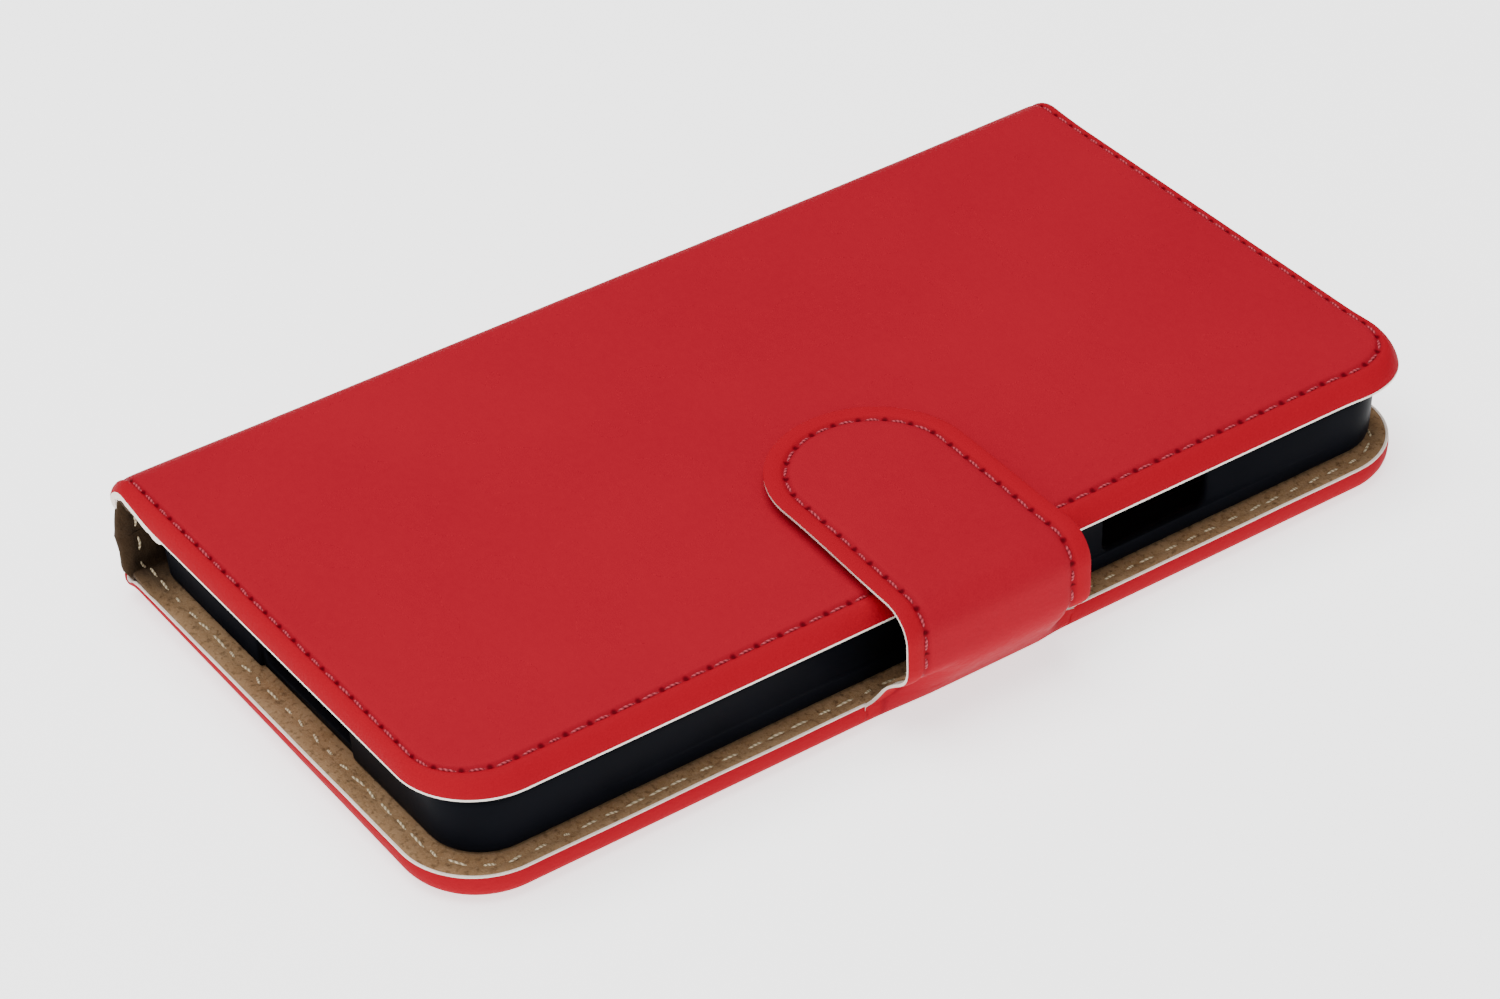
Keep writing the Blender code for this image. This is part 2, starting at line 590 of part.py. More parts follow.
def bent_tab(name, top_z, thickness, radius, material, parent):
    """A ply of the tab: flat tongue with a round tip, and half of the fold at its root."""
    first = math.pi / 4 + FOLD_GAP / (2 * radius)
    fold = arc_points((TAB_ARC_X, top_z - radius), radius, first, math.pi / 2, FOLD_STEPS)
    low_fold = arc_points((TAB_ARC_X, top_z - radius), radius - thickness, first, math.pi / 2,
                          FOLD_STEPS)
    half = STRAP_HALF_WIDTH
    outer = [[(x, y, z) for x, z in fold] for y in (-half, half)]
    inner = [[(x, y, z) for x, z in low_fold] for y in (-half, half)]
    tongue = tab_outline(TAB_ARC_X, 0.0)[1:-1]
    bm = bmesh.new()

    def face(points):
        bm.faces.new([bm.verts.new(point) for point in points])

    for step in range(FOLD_STEPS):
        for row, flip in ((outer, False), (inner, True)):
            quad = [row[0][step], row[1][step], row[1][step + 1], row[0][step + 1]]
            face(list(reversed(quad)) if flip else quad)
        for side, flip in ((0, False), (1, True)):
            quad = [outer[side][step], outer[side][step + 1],
                    inner[side][step + 1], inner[side][step]]
            face(list(reversed(quad)) if flip else quad)
    face([outer[0][0], outer[1][0], inner[1][0], inner[0][0]])
    loop = [(TAB_ARC_X, -half)] + tongue + [(TAB_ARC_X, half)]
    face([(x, y, top_z) for x, y in loop])
    face([(x, y, top_z - thickness) for x, y in loop])
    for first_point, next_point in zip(loop, loop[1:]):
        face([(*first_point, top_z), (*next_point, top_z),
              (*next_point, top_z - thickness), (*first_point, top_z - thickness)])
    bmesh.ops.remove_doubles(bm, verts=bm.verts, dist=0.001)
    return add_object(name, bm, material, parent)


def make_strap_tab(parts, body):
    bent_tab("strap_leather_tab", TAB_TOP, STRAP_LEATHER, STRAP_TOP_RADIUS, parts["leather"], body)
    board_top = TAB_TOP - STRAP_LEATHER - PLY_GAP / 2
    lining_top = board_top - TAB_BOARD - PLY_GAP / 2
    bent_tab("strap_lining_tab", lining_top, STRAP_LINING,
             STRAP_TOP_RADIUS - (TAB_TOP - lining_top), parts["lining"], body)
    board_outline = tab_outline(X_EDGE - BOARD_INSET, TAB_SEAM_INSET + SLIDE_GAP)
    board = plate("strap_stiffener_tab", board_outline, board_top - TAB_BOARD, board_top,
                  parts["board"], body)
    recess = cutter_prism("magnet_cutter", disc_outline(MAGNET_RADIUS + SLIDE_GAP),
                          board_top - CUTTER_MARGIN, board_top + CUTTER_MARGIN, parts["steel"], body)
    cut(board, recess)
    plate("clasp_magnet", disc_outline(MAGNET_RADIUS), board_top - TAB_BOARD, board_top,
          parts["magnet"], body)
    seam_z = TAB_TOP + THREAD_GAP + THREAD_RADIUS
    route = [(x, y, seam_z) for x, y in tab_outline(TAB_ARC_X, TAB_SEAM_INSET)]
    thread("strap_thread_tab", route, parts["red_thread"], body)


# --- Whole case ---------------------------------------------------------------------------------
def make_materials():
    return {
        "leather": make_material("red_leather", (0.46, 0.024, 0.030), 0.55),
        "lining": make_material("brown_suede", (0.14, 0.085, 0.042), 0.95),
        "board": make_material("grey_board", (0.30, 0.28, 0.25), 0.9),
        "plastic": make_material("black_plastic", (0.008, 0.009, 0.011), 0.4),
        "adhesive": make_material("clear_adhesive", (0.75, 0.74, 0.70), 0.3),
        "cream_thread": make_material("cream_thread", (0.60, 0.50, 0.36), 0.7),
        "red_thread": make_material("red_thread", (0.33, 0.010, 0.014), 0.7),
        "magnet": make_material("magnet_nickel", (0.62, 0.62, 0.64), 0.3, 1.0),
        "steel": make_material("keeper_steel", (0.55, 0.56, 0.58), 0.35, 1.0),
    }


def main():
    clear_scene()
    parts = make_materials()
    back = add_body("body_back")
    spine = add_body("body_spine", back, *BACK_HINGE)
    front = add_body("body_front_cover", spine, *FRONT_HINGE)
    side = add_body("body_strap_side", back, *STRAP_HINGE)
    tab = add_body("body_strap_tab", side, *TAB_HINGE)
    make_back_cover(parts, back)
    make_spine(parts, spine)
    make_front_cover(parts, front)
    make_strap_side(parts, side)
    make_strap_tab(parts, tab)


main()
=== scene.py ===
"""Looks of the book-style phone wallet case: leather skins, suede lining, strap, cradle, pockets,
seams and materials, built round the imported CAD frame. Lengths are in millimetres until a mesh is
made; MM turns them into metres."""
import json
import math

import bmesh
import bpy
import numpy as np
from mathutils import Matrix, Vector, noise


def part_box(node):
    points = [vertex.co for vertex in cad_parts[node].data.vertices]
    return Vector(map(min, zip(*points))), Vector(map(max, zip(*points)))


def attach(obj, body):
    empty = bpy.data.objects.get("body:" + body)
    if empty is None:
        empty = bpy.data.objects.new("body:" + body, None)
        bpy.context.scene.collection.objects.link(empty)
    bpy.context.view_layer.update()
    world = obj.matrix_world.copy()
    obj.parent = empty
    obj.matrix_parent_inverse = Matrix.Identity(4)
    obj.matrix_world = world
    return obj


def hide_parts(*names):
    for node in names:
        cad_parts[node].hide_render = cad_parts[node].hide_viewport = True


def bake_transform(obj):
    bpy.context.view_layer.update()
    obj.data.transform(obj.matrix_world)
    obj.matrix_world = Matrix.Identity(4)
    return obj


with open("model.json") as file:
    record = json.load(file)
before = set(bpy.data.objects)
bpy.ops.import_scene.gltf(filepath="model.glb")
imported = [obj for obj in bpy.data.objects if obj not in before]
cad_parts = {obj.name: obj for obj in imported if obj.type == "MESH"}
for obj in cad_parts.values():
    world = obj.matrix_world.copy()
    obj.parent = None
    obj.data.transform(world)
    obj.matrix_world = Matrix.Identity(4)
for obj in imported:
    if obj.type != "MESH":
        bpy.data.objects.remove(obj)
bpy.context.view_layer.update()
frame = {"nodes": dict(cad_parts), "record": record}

MM = 0.001


# --- Places taken from the frame ---
def box_mm(node):
    low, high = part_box(node)
    return low / MM, high / MM


def opening_middle(name):
    """Middle of an opening that the record states, in millimetres."""
    openings = frame["record"]["physics"]["openings"]
    low, high = next(opening["box_m"] for opening in openings if opening["name"] == name)
    return (Vector(low) + Vector(high)) / 2 / MM


X_SPINE = box_mm("outer_leather_spine")[0].x
X_EDGE = box_mm("outer_leather_front")[1].x
X_STRAP = box_mm("strap_leather_side")[1].x
HALF_BACK = box_mm("outer_leather_back")[1].y
HALF_FRONT = box_mm("outer_leather_front")[1].y
FRONT_TOP = box_mm("outer_leather_front")[1].z
BACK_FACE = box_mm("lining_back")[1].z
FRONT_FACE = box_mm("lining_front")[0].z
TAB_TOP = box_mm("strap_leather_tab")[1].z
TAB_BOTTOM = box_mm("strap_lining_tab")[0].z
TAB_TIP = box_mm("strap_leather_tab")[0].x
STRAP_TRIM = 0.35  # how much narrower each side is than the CAD strap
STRAP_HALF = box_mm("strap_leather_side")[1].y - STRAP_TRIM
WINDOW = opening_middle("camera_window")

# --- Shape of the leather and the lining ---
FOLD_RADIUS = 4.0
CORNER_RADIUS = 11.0
LEATHER = 0.6
LINING = 0.6
X_FOLD = X_SPINE + FOLD_RADIUS
FOLD_ARC = FOLD_RADIUS * math.pi / 2
COVER_SPAN = X_EDGE - X_FOLD
MID_SPINE = -(FOLD_ARC + FRONT_TOP / 2 - FOLD_RADIUS)
SPINE_ROLL = 0.15  # share of the edge's roll that is left on the spine
FOLD_ROLL = 0.45  # and at the fold
SPINE_RECESS = 0.9  # leather's end inside the lining's at the spine's ends
FULL_CORNER = 0.8  # how far the front's corner at +X +Y stands out
FULL_FROM, FULL_TO = 15.0, 2.0
FOLD_BULGE = 0.9  # how far the upper fold stands out at its ends
BULGE_AT, BULGE_WIDTH, BULGE_REACH = -6.0, 3.2, 30.0
SPINE_DEPTH = 1.5  # lining's face inside the leather's at the spine
FOLD_SAG = 0.75  # how much lower the lining's edge lies at the folds
LINING_EDGE = 0.24  # lining's edge inside the leather's

STITCH_PITCH = 3.4
FRONT_SEAM = 3.0  # seam's inset from the long edge
FRONT_END_SHARE = 0.66  # inset at the short ends as a share of that
BACK_SEAM = 3.0
INNER_SEAM = 2.1
INNER_END_SHARE = 1.35
TAB_SEAM = 2.8

BACK_ROLL = 2.5
BACK_WALL_TOP = 3.94
WELT = 0.1  # how far the leather stands up between the seam and the roll
WELT_AT, WELT_WIDTH = 1.9, 0.7
UPRIGHT_FRONT, UPRIGHT_BACK = -6.5, -4.0  # where the spine's own shape begins, per side
UPRIGHT_RUN = 3.0  # and how far on it is complete
RECESS_REACH = 9.0  # distance from the ends where the leather starts to draw in

STRAP_ROOT_RADIUS = 3.4
STRAP_SLOPE = math.radians(55.0)
STRAP_BELLY_RADIUS = 8.0
STRAP_TOP_RADIUS = 4.5
STRAP_FLARE = 2.2
ROOT_REACH_NEAR = 11.0  # how far from its cut the root leaves the rim, at -Y
ROOT_REACH_FAR = 6.0  # and at +Y
STRAP_SIDE = 0.65  # strap's middle, off the cover's middle
STRAP_LINING_IN = 1.4  # lining's edge inside the strap's
STRAP_SPLIT_Z = 13.4  # height on the strap's straight side where its two pieces meet
STRAP_LEATHER = 0.55
STRAP_LINING = 0.45
TIP_HALF = 13.7
TIP_SIDE = 0.6

WINDOW_LENGTH = 24.0
WINDOW_WIDTH = 14.0
WINDOW_CUT = (-3.0, 9.0)  # levels between which the window is cut
WINDOW_SEAM = 2.2  # its seam's distance from the cut

STEP = 0.85  # mesh size along the leather
LINING_STEP = 1.1
STRAP_STEP = 0.7
POCKET_STEP = 1.6

BARE = 0.5  # stitch count where there is no needle hole
SEAM_MIDDLE = 0.5  # UV map Seam's second value at the seam
SEAM_SCALE = 0.01  # and its change per millimetre of inset
SKIN_DIMPLE = (0.3, 0.42)  # depth and width of the line that stitches press, per surface
LINING_DIMPLE = (0.24, 0.5)
STRAP_DIMPLE = (0.26, 0.4)
POCKET_DIMPLE = (0.12, 0.35)


# --- Small maths ---
def smooth(low, high, value):
    t = min(max((value - low) / (high - low), 0.0), 1.0)
    return t * t * (3 - 2 * t)


def mix(a, b, share):
    return a + (b - a) * share


def arc_points(centre, radius, start, end, steps):
    angles = [start + (end - start) * step / steps for step in range(steps + 1)]
    return [(centre[0] + radius * math.cos(a), centre[1] + radius * math.sin(a)) for a in angles]


def spaced(start, end, step):
    count = max(1, round(abs(end - start) / step))
    return [start + (end - start) * index / count for index in range(count + 1)]


def ripple(x, y, size, seed):
    """Smooth seeded noise from -1 to 1 with features of the given size."""
    return noise.noise(Vector((x / size, y / size, seed)))


def waves(x, y, table):
    """Ripples on top of each other, each as (height, size, seed)."""
    return sum(height * ripple(x, y, size, seed) for height, size, seed in table)


def bump_at(value, centre, width):
    return math.exp(-((value - centre) / width) ** 2)


def dimple(inset, seam, size):
    """Depth of the line that stitches press beside their seam."""
    depth, width = size
    return depth * bump_at(inset, seam, width)


def seam_uv_at(inset, seam):
    return SEAM_MIDDLE + (inset - seam) * SEAM_SCALE


class Path:
    """A polyline in two dimensions that can be read at any distance along it."""

    def __init__(self, points):
        self.points = np.array(points, float)
        legs = np.linalg.norm(np.diff(self.points, axis=0), axis=1)
        self.lengths = np.concatenate([[0.0], np.cumsum(legs)])
        self.length = float(self.lengths[-1])

    def at(self, distance):
        return tuple(float(np.interp(distance, self.lengths, self.points[:, k])) for k in (0, 1))

    def outward(self, distance, reach=0.4):
        """Direction to the right of the path's way."""
        before = self.at(distance - reach)
        after = self.at(distance + reach)
        length = math.dist(before, after)
        return (after[1] - before[1]) / length, -(after[0] - before[0]) / length

    def distance_at_height(self, height):
        rising = self.points[:, 1]
        index = int(np.argmax(rising > height))
        share = (height - rising[index - 1]) / (rising[index] - rising[index - 1])
        return float(mix(self.lengths[index - 1], self.lengths[index], share))


# --- Meshes ---
def add_object(name, data):
    item = bpy.data.objects.new(name, data)
    bpy.context.scene.collection.objects.link(item)
    return item


def make_mesh(name, points, faces, face_slots, materials, uv_maps=None, sharp=50.0):
    """An object from points in millimetres. UV maps are given per point."""
    mesh = bpy.data.meshes.new(name)
    mesh.from_pydata([tuple(c * MM for c in point) for point in points], [], faces)
    for material in materials:
        mesh.materials.append(material)
    mesh.polygons.foreach_set("material_index", face_slots)
    corner_points = np.empty(len(mesh.loops), np.int32)
    mesh.loops.foreach_get("vertex_index", corner_points)
    for map_name, values in (uv_maps or {}).items():
        layer = mesh.uv_layers.new(name=map_name)
        layer.data.foreach_set("uv", np.array(values, np.float32)[corner_points].ravel())
    item = add_object(name, mesh)
    bm = bmesh.new()
    bm.from_mesh(mesh)
    bmesh.ops.recalc_face_normals(bm, faces=bm.faces)
    bm.to_mesh(mesh)
    bm.free()
    mesh.shade_smooth()
    mesh.set_sharp_from_angle(angle=math.radians(sharp))
    return item


def apply_modifiers(item):
    bpy.context.view_layer.update()
    graph = bpy.context.evaluated_depsgraph_get()
    mesh = bpy.data.meshes.new_from_object(item.evaluated_get(graph))
    item.modifiers.clear()
    item.data = mesh


def subtract(item, cutters):
    for cutter in cutters:
        modifier = item.modifiers.new("cut", "BOOLEAN")
        modifier.operation = "DIFFERENCE"
        modifier.solver = "EXACT"
        modifier.material_mode = "TRANSFER"
        modifier.object = cutter
    apply_modifiers(item)


def discard(items):
    for item in items:
        bpy.data.objects.remove(item, do_unlink=True)


def tube_faces(first, rings, count):
    """Quads between closed rings of points that follow each other, then the two caps."""
    faces = []
    for near in range(first, first + (rings - 1) * count, count):
        far = near + count
        faces += [(near + i, near + (i + 1) % count, far + (i + 1) % count, far + i)
                  for i in range(count)]
    last = first + (rings - 1) * count
    return faces + [tuple(range(first, first + count)), tuple(range(last, last + count))]


def make_rings(name, rings, materials, ring_slots=None, uv_maps=None, sharp=50.0):
    """Closed rings of equal size, joined in order. The caps have the last material."""
    points = [point for ring in rings for point in ring]
    count = len(rings[0])
    faces = tube_faces(0, len(rings), count)
    slots = (ring_slots or [0] * count) * (len(rings) - 1) + [len(materials) - 1] * 2
    return make_mesh(name, points, faces, slots, materials, uv_maps, sharp)


def along_x(a, b, level):
    return level, a, b


def along_y(a, b, level):
    return a, level, b


def along_z(a, b, level):
    return a, b, level


def make_prism(name, outline, low, high, material, place):
    """A cutter: an outline between two levels. place(a, b, level) gives the point."""
    return make_rings(name, [[place(a, b, level) for a, b in outline] for level in (low, high)],
                      [material])


# --- Panels: sheets with a worked edge on three sides ---
class Panel:
    """A pattern piece joined to its neighbour at start and free on its other three sides.

    place(across, along, height, inset, layer) bends it into shape: height is measured off the
    outer face, inset from the free edge, and layer is 0 outside and 1 inside.
    """

    def __init__(self, place, start, end, half, radius, seam, end_share=1.0, step=STEP):
        self.place = place
        self.start, self.end, self.half, self.radius = start, end, half, radius
        self.seam, self.end_share = seam, end_share
        self.columns = spaced(start, end - radius, step)
        self.rows = spaced(-(half - radius), half - radius, step)
        self.stations = self.make_stations(max(8, round(radius * math.pi / 2 / step)))
        line = [self.inset_place(station, seam) for station in self.stations]
        self.seam_path = Path(line)
        self.stitches = round(self.seam_path.length / STITCH_PITCH)

    def make_stations(self, turns):
        """The free edge, each as (across, along, inwards across, inwards along, column, row)."""
        last_column, last_row = len(self.columns) - 1, len(self.rows) - 1
        low = [(p, -self.half, 0.0, 1.0, i, 0) for i, p in enumerate(self.columns)]
        for turn in range(1, turns):
            angle = math.pi / 2 * turn / turns
            ca, sa = math.cos(angle), math.sin(angle)
            low.append((self.end - self.radius + self.radius * sa,
                        self.radius - self.half - self.radius * ca, -sa, ca, last_column, 0))
        side = [(self.end, y, -1.0, 0.0, last_column, j) for j, y in enumerate(self.rows)]
        high = [(p, -y, in_p, -in_y, i, last_row) for p, y, in_p, in_y, i, _ in reversed(low)]
        return low + side + high

    def inset_place(self, station, inset):
        """A station moved inwards. Near the seam the short ends' insets take end_share."""
        p, y, inward_p, inward_y = station[:4]
        fade = 1 - smooth(self.seam, self.radius, inset)
        return p + inward_p * inset, y + inward_y * inset * mix(1.0, self.end_share, fade)

    def build(self, name, rows, materials, painted_shade=lambda across: 0.0):
        """A closed sheet. rows is its section across the free edge: (inset, height, slot, layer).

        The first and last rows lie at the corner radius, where the outer and inner faces'
        grids take over. UV map Seam has the stitch count and the inset from the seam; the other
        UV map has the share of painted shade, darker suede towards the fold.
        """
        points, seam_uv, painted_shade_uv, faces, slots = [], [], [], [], []
        counts = [self.stitches * float(length) / self.seam_path.length
                  for length in self.seam_path.lengths]

        def add_point(p, y, height, inset, layer, count):
            points.append(self.place(p, y, height, inset, layer))
            seam_uv.append((count, seam_uv_at(inset, self.seam)))
            painted_shade_uv.append((painted_shade(p), 0.0))
            return len(points) - 1

        def add_face(corners, slot):
            unique = [c for i, c in enumerate(corners) if c != corners[i - 1]]
            if len(unique) > 2:
                faces.append(unique)
                slots.append(slot)

        def add_grid(row):
            height, layer = row[1], row[3]
            return [[add_point(p, y, height, min(self.half - abs(y), self.end - p), layer, BARE)
                     for y in self.rows] for p in self.columns]

        grids = [add_grid(rows[0]), add_grid(rows[-1])]
        loops = []
        for index, (inset, height, _, layer) in enumerate(rows):
            if index in (0, len(rows) - 1):
                grid = grids[0] if index == 0 else grids[1]
                loops.append([grid[station[4]][station[5]] for station in self.stations])
                continue
            loops.append([add_point(*self.inset_place(station, inset), height, inset, layer, count)
                          for station, count in zip(self.stations, counts)])
        for index in range(len(rows) - 1):
            near, far = loops[index], loops[index + 1]
            for k in range(len(self.stations) - 1):
                add_face([near[k], near[k + 1], far[k + 1], far[k]], rows[index + 1][2])
        for grid, slot in ((grids[0], rows[0][2]), (grids[1], rows[-1][2])):
            for i in range(len(self.columns) - 1):
                for j in range(len(self.rows) - 1):
                    add_face([grid[i][j], grid[i + 1][j], grid[i + 1][j + 1], grid[i][j + 1]], slot)
        inner_end = [grids[1][0][j] for j in range(1, len(self.rows) - 1)]
        outer_end = [grids[0][0][j] for j in range(len(self.rows) - 2, 0, -1)]
        add_face([loop[0] for loop in loops] + inner_end
                 + [loop[-1] for loop in reversed(loops)] + outer_end, rows[-1][2])
        maps = {"Seam": seam_uv, "Wear": painted_shade_uv}
        return make_mesh(name, points, faces, slots, materials, maps)

    def seam_point(self, height):
        """A function from a distance along the seam, and a rise, to a point."""
        def point(distance, rise):
            p, y = self.seam_path.at(distance)
            return Vector(self.place(p, y, height + rise, self.seam, 0))
        return point


# --- Stitches ---
STITCH_RINGS = 7
STITCH_SIDES = 8


def add_stitch(points, faces, uvs, centres, normals, width, height):
    """One stitch: a thread that rises out of a needle hole and dives into the next."""
    first = len(points)
    for j, (centre, normal) in enumerate(zip(centres, normals)):
        before = centres[max(j - 1, 0)]
        after = centres[min(j + 1, len(centres) - 1)]
        side = (after - before).cross(normal).normalized()
        swell = math.sin(math.pi * (j + 0.35) / (len(centres) - 0.3)) ** 0.5
        for k in range(STITCH_SIDES):
            angle = 2 * math.pi * k / STITCH_SIDES
            across = side * (math.cos(angle) * width / 2 * swell)
            up = normal * (math.sin(angle) * height / 2 * swell)
            points.append(centre + across + up)
            uvs.append((j / len(centres), k / STITCH_SIDES))
    faces += tube_faces(first, len(centres), STITCH_SIDES)


def make_stitches(name, runs, material, width=0.42, height=0.34, share=0.78, sink=0.3, wander=0.3):
    """Stitches along runs of (point function, length, count). wander makes them irregular."""
    points, faces, uvs = [], [], []
    for run, (point, length, count) in enumerate(runs):
        pitch = length / count
        for number in range(count):
            loose = [ripple(number * 3.7, run * 9.1, 1.0, seed) for seed in (0.5, 1.5, 2.5)]
            reach = pitch * share * (1 + wander * loose[0]) / 2
            middle = pitch * (number + 0.5 + 0.3 * wander * loose[1])
            slant = wander * loose[2] * 0.6
            centres, normals = [], []
            for j in range(STITCH_RINGS):
                t = 2 * j / (STITCH_RINGS - 1) - 1
                distance = min(max(middle + t * reach, 0.05), length - 0.05)
                low, high = point(distance, 0.0), point(distance, 0.5)
                ahead, behind = point(distance + 0.05, 0.0), point(distance - 0.05, 0.0)
                normal = (high - low).normalized()
                side = (ahead - behind).cross(normal).normalized()
                lift = height * 0.3 - sink * abs(t) ** 3
                centres.append(low + normal * lift + side * (slant * t))
                normals.append(normal)
            add_stitch(points, faces, uvs, centres, normals, width, height)
    return make_mesh(name, points, faces, [0] * len(faces), [material], {"Seam": uvs}, sharp=70.0)


# --- The covers' shape ---
def carrier(across):
    """The covers' outer face: x, rise from the cover's face, and the outward direction as its x
    and its share away from the case. Negative values of across lie on the fold and the spine."""
    if across >= 0:
        return X_FOLD + across, 0.0, 0.0, 1.0
    if across > -FOLD_ARC:
        turn = -across / FOLD_RADIUS
        return (X_FOLD - FOLD_RADIUS * math.sin(turn), FOLD_RADIUS * (1 - math.cos(turn)),
                -math.sin(turn), math.cos(turn))
    return X_SPINE, FOLD_RADIUS - across - FOLD_ARC, -1.0, 0.0


def cover_point(side, across, y, height):
    """A point at a height off the covers' outer face. side is 1 on the front, -1 on the back."""
    x, rise, out_x, out_z = carrier(across)
    if side > 0:
        near_end = smooth(BULGE_REACH, 0.0, HALF_FRONT - abs(y))
        bulge = height + FOLD_BULGE * near_end * bump_at(across, BULGE_AT, BULGE_WIDTH)
        full = FULL_CORNER * smooth(COVER_SPAN - FULL_FROM, COVER_SPAN - FULL_TO, across)
        full *= smooth(HALF_FRONT - FULL_FROM, HALF_FRONT - FULL_TO, y)
        return x + out_x * bulge + full, y + full, FRONT_TOP - rise + out_z * height
    shorter = mix(HALF_FRONT / HALF_BACK, 1.0, smooth(MID_SPINE + 2.0, 4.0, across))
    return x + out_x * height, y * shorter, rise - out_z * height


def rows_of(profile, slot, layer):
    return [(inset, height, slot, layer) for inset, height in profile]


def section(outer, cut_edge, backing):
    return rows_of(outer, 0, 0) + rows_of(cut_edge, 1, 0) + rows_of(backing, 2, 1)


def past_fold(side, across):
    """Share of the upright spine's own shape: none before the fold."""
    begin = UPRIGHT_FRONT if side > 0 else UPRIGHT_BACK
    return smooth(begin, begin - UPRIGHT_RUN, across)


def end_recess(side, across, y, half):
    """How much shorter the leather is at the ends of the spine."""
    return SPINE_RECESS * past_fold(side, across) * smooth(RECESS_REACH, 0.0, half - abs(y))


# --- Front cover's leather ---
FRONT_DROP = 2.55  # roll's height, from the outer face down to the cut edge
FRONT_RIM = (
    (CORNER_RADIUS, 0.0), (8.5, 0.0), (6.5, 0.0), (5.2, 0.0), (4.4, -0.02), (3.9, -0.05),
    (3.5, -0.09), (3.25, -0.13), (FRONT_SEAM, -0.17), (2.75, -0.2), (2.45, -0.24), (2.1, -0.3),
    (1.7, -0.42), (1.3, -0.62), (0.95, -0.9), (0.62, -1.27), (0.35, -1.68), (0.14, -2.1),
    (0.0, -FRONT_DROP),
)
FRONT_CUT = ((-0.03, -2.60), (-0.02, -2.84), (0.1, -2.92), (0.62, -2.92))
FRONT_BACKING = ((0.75, -2.6), (1.4, -1.5), (2.4, -0.95), (3.6, -0.72), (6.0, -LEATHER),
                 (CORNER_RADIUS, -LEATHER))
THICK_CUT = 2.0  # extra thickness of the cut edge beside the spine, as a share
THICK_CUT_END = 9.0  # where beside the spine it steps down
CUT_WAVES = ((0.25, 1.6, 3.3),)
FRONT_WAVES = ((0.10, 34.0, 1.5), (0.03, 9.0, 4.2))
CALM_INSET = 12.0  # inset where the cover's waves reach their full height
CALM_SPINE = 5.0  # and the distance from the spine's middle
BACKING_EDGE = (2.4, 0.8)  # insets between which the backing is tucked in at the spine
BACKING_TUCK = 0.5
ROLL_TURN = -3.0  # across, where the roll starts to grow towards the cover
ROLL_SPINE = (-11.0, -6.5)  # and where it grows from the spine's share


def roll_share(across, runout=8.0):
    """How much of the edge's roll there is: all of it on the cover, little at the spine."""
    turned = mix(FOLD_ROLL, 1.0, smooth(ROLL_TURN, runout, across))
    return mix(SPINE_ROLL, turned, smooth(*ROLL_SPINE, across))


def front_place(across, y, height, inset, layer):
    share = roll_share(across)
    if layer == 1:
        near_edge = smooth(*BACKING_EDGE, inset)
        lifted = -LEATHER + (height + LEATHER) * share - BACKING_TUCK * (1 - share) * near_edge
    elif height < -FRONT_DROP:
        thick = 1 + THICK_CUT * (1 - smooth(THICK_CUT_END, THICK_CUT_END + 1.0, across))
        highlight_specks = 1 + waves(across, y, CUT_WAVES) * (thick - 1)
        lifted = -FRONT_DROP * share + (height + FRONT_DROP) * thick * highlight_specks
    else:
        calm = smooth(FRONT_SEAM, CALM_INSET, inset)
        calm *= smooth(MID_SPINE, MID_SPINE + CALM_SPINE, across)
        lifted = height * share - dimple(inset, FRONT_SEAM, SKIN_DIMPLE)
        lifted += WELT * bump_at(inset, WELT_AT, WELT_WIDTH)
        lifted += calm * waves(across, y, FRONT_WAVES)
    y_out = y - math.copysign(end_recess(1, across, y, HALF_FRONT), y)
    return cover_point(1, across, y_out, lifted)


FRONT_PANEL = Panel(front_place, MID_SPINE, COVER_SPAN, HALF_FRONT, CORNER_RADIUS, FRONT_SEAM,
                    FRONT_END_SHARE)


# --- Back cover's leather ---
BACK_CUT = ((0.05, -4.02), (0.14, -4.07), (0.4, -4.07))
BACK_BACKING = ((0.62, -3.5), (0.7, -2.6), (1.3, -1.4), (2.6, -LEATHER), (5.0, -LEATHER),
                (CORNER_RADIUS, -LEATHER))
BACK_LIFT = 2.7  # how far the short edges' roll rises off the table at the spine
BACK_LIFT_REACH = 9.0  # inset at which that rise ends
LIFT_START = -4.0
RIM_WAVES = ((0.07, 11.0, 3.1),)
RIM_WAVE_HEIGHT = (-0.6, -2.5)  # heights and insets between which the rim's waves grow
RIM_WAVE_INSET = (1.5, 0.5)
BACK_RUNOUT = 3.0  # across, where the back's roll is complete
LIFT_END = 0.95 * COVER_SPAN


def back_rim():
    """Section of the back cover's rolled edge: flat, quarter roll, upright wall."""
    flat = [(CORNER_RADIUS, 0.0), (8.0, 0.0), (6.5, 0.0), (5.2, 0.0), (4.2, 0.0), (3.5, 0.0),
            (BACK_SEAM, 0.0), (2.75, 0.0)]
    roll = arc_points((BACK_ROLL, 0.0), BACK_ROLL, -math.pi / 2, -math.pi, 7)
    turned = [(inset, -BACK_ROLL - drop) for inset, drop in roll]
    return flat + turned + [(-0.05, -3.0), (0.02, -BACK_WALL_TOP)]


def back_rise(across, y):
    """Rise of the short edges' roll: none at the far corners, most beside the spine."""
    past_edge = smooth(BACK_LIFT_REACH, 0.6, HALF_BACK - abs(y))
    share = (across - LIFT_START) / (LIFT_END - LIFT_START)
    return BACK_LIFT * (1 - min(max(share, 0.0), 1.0)) * past_edge


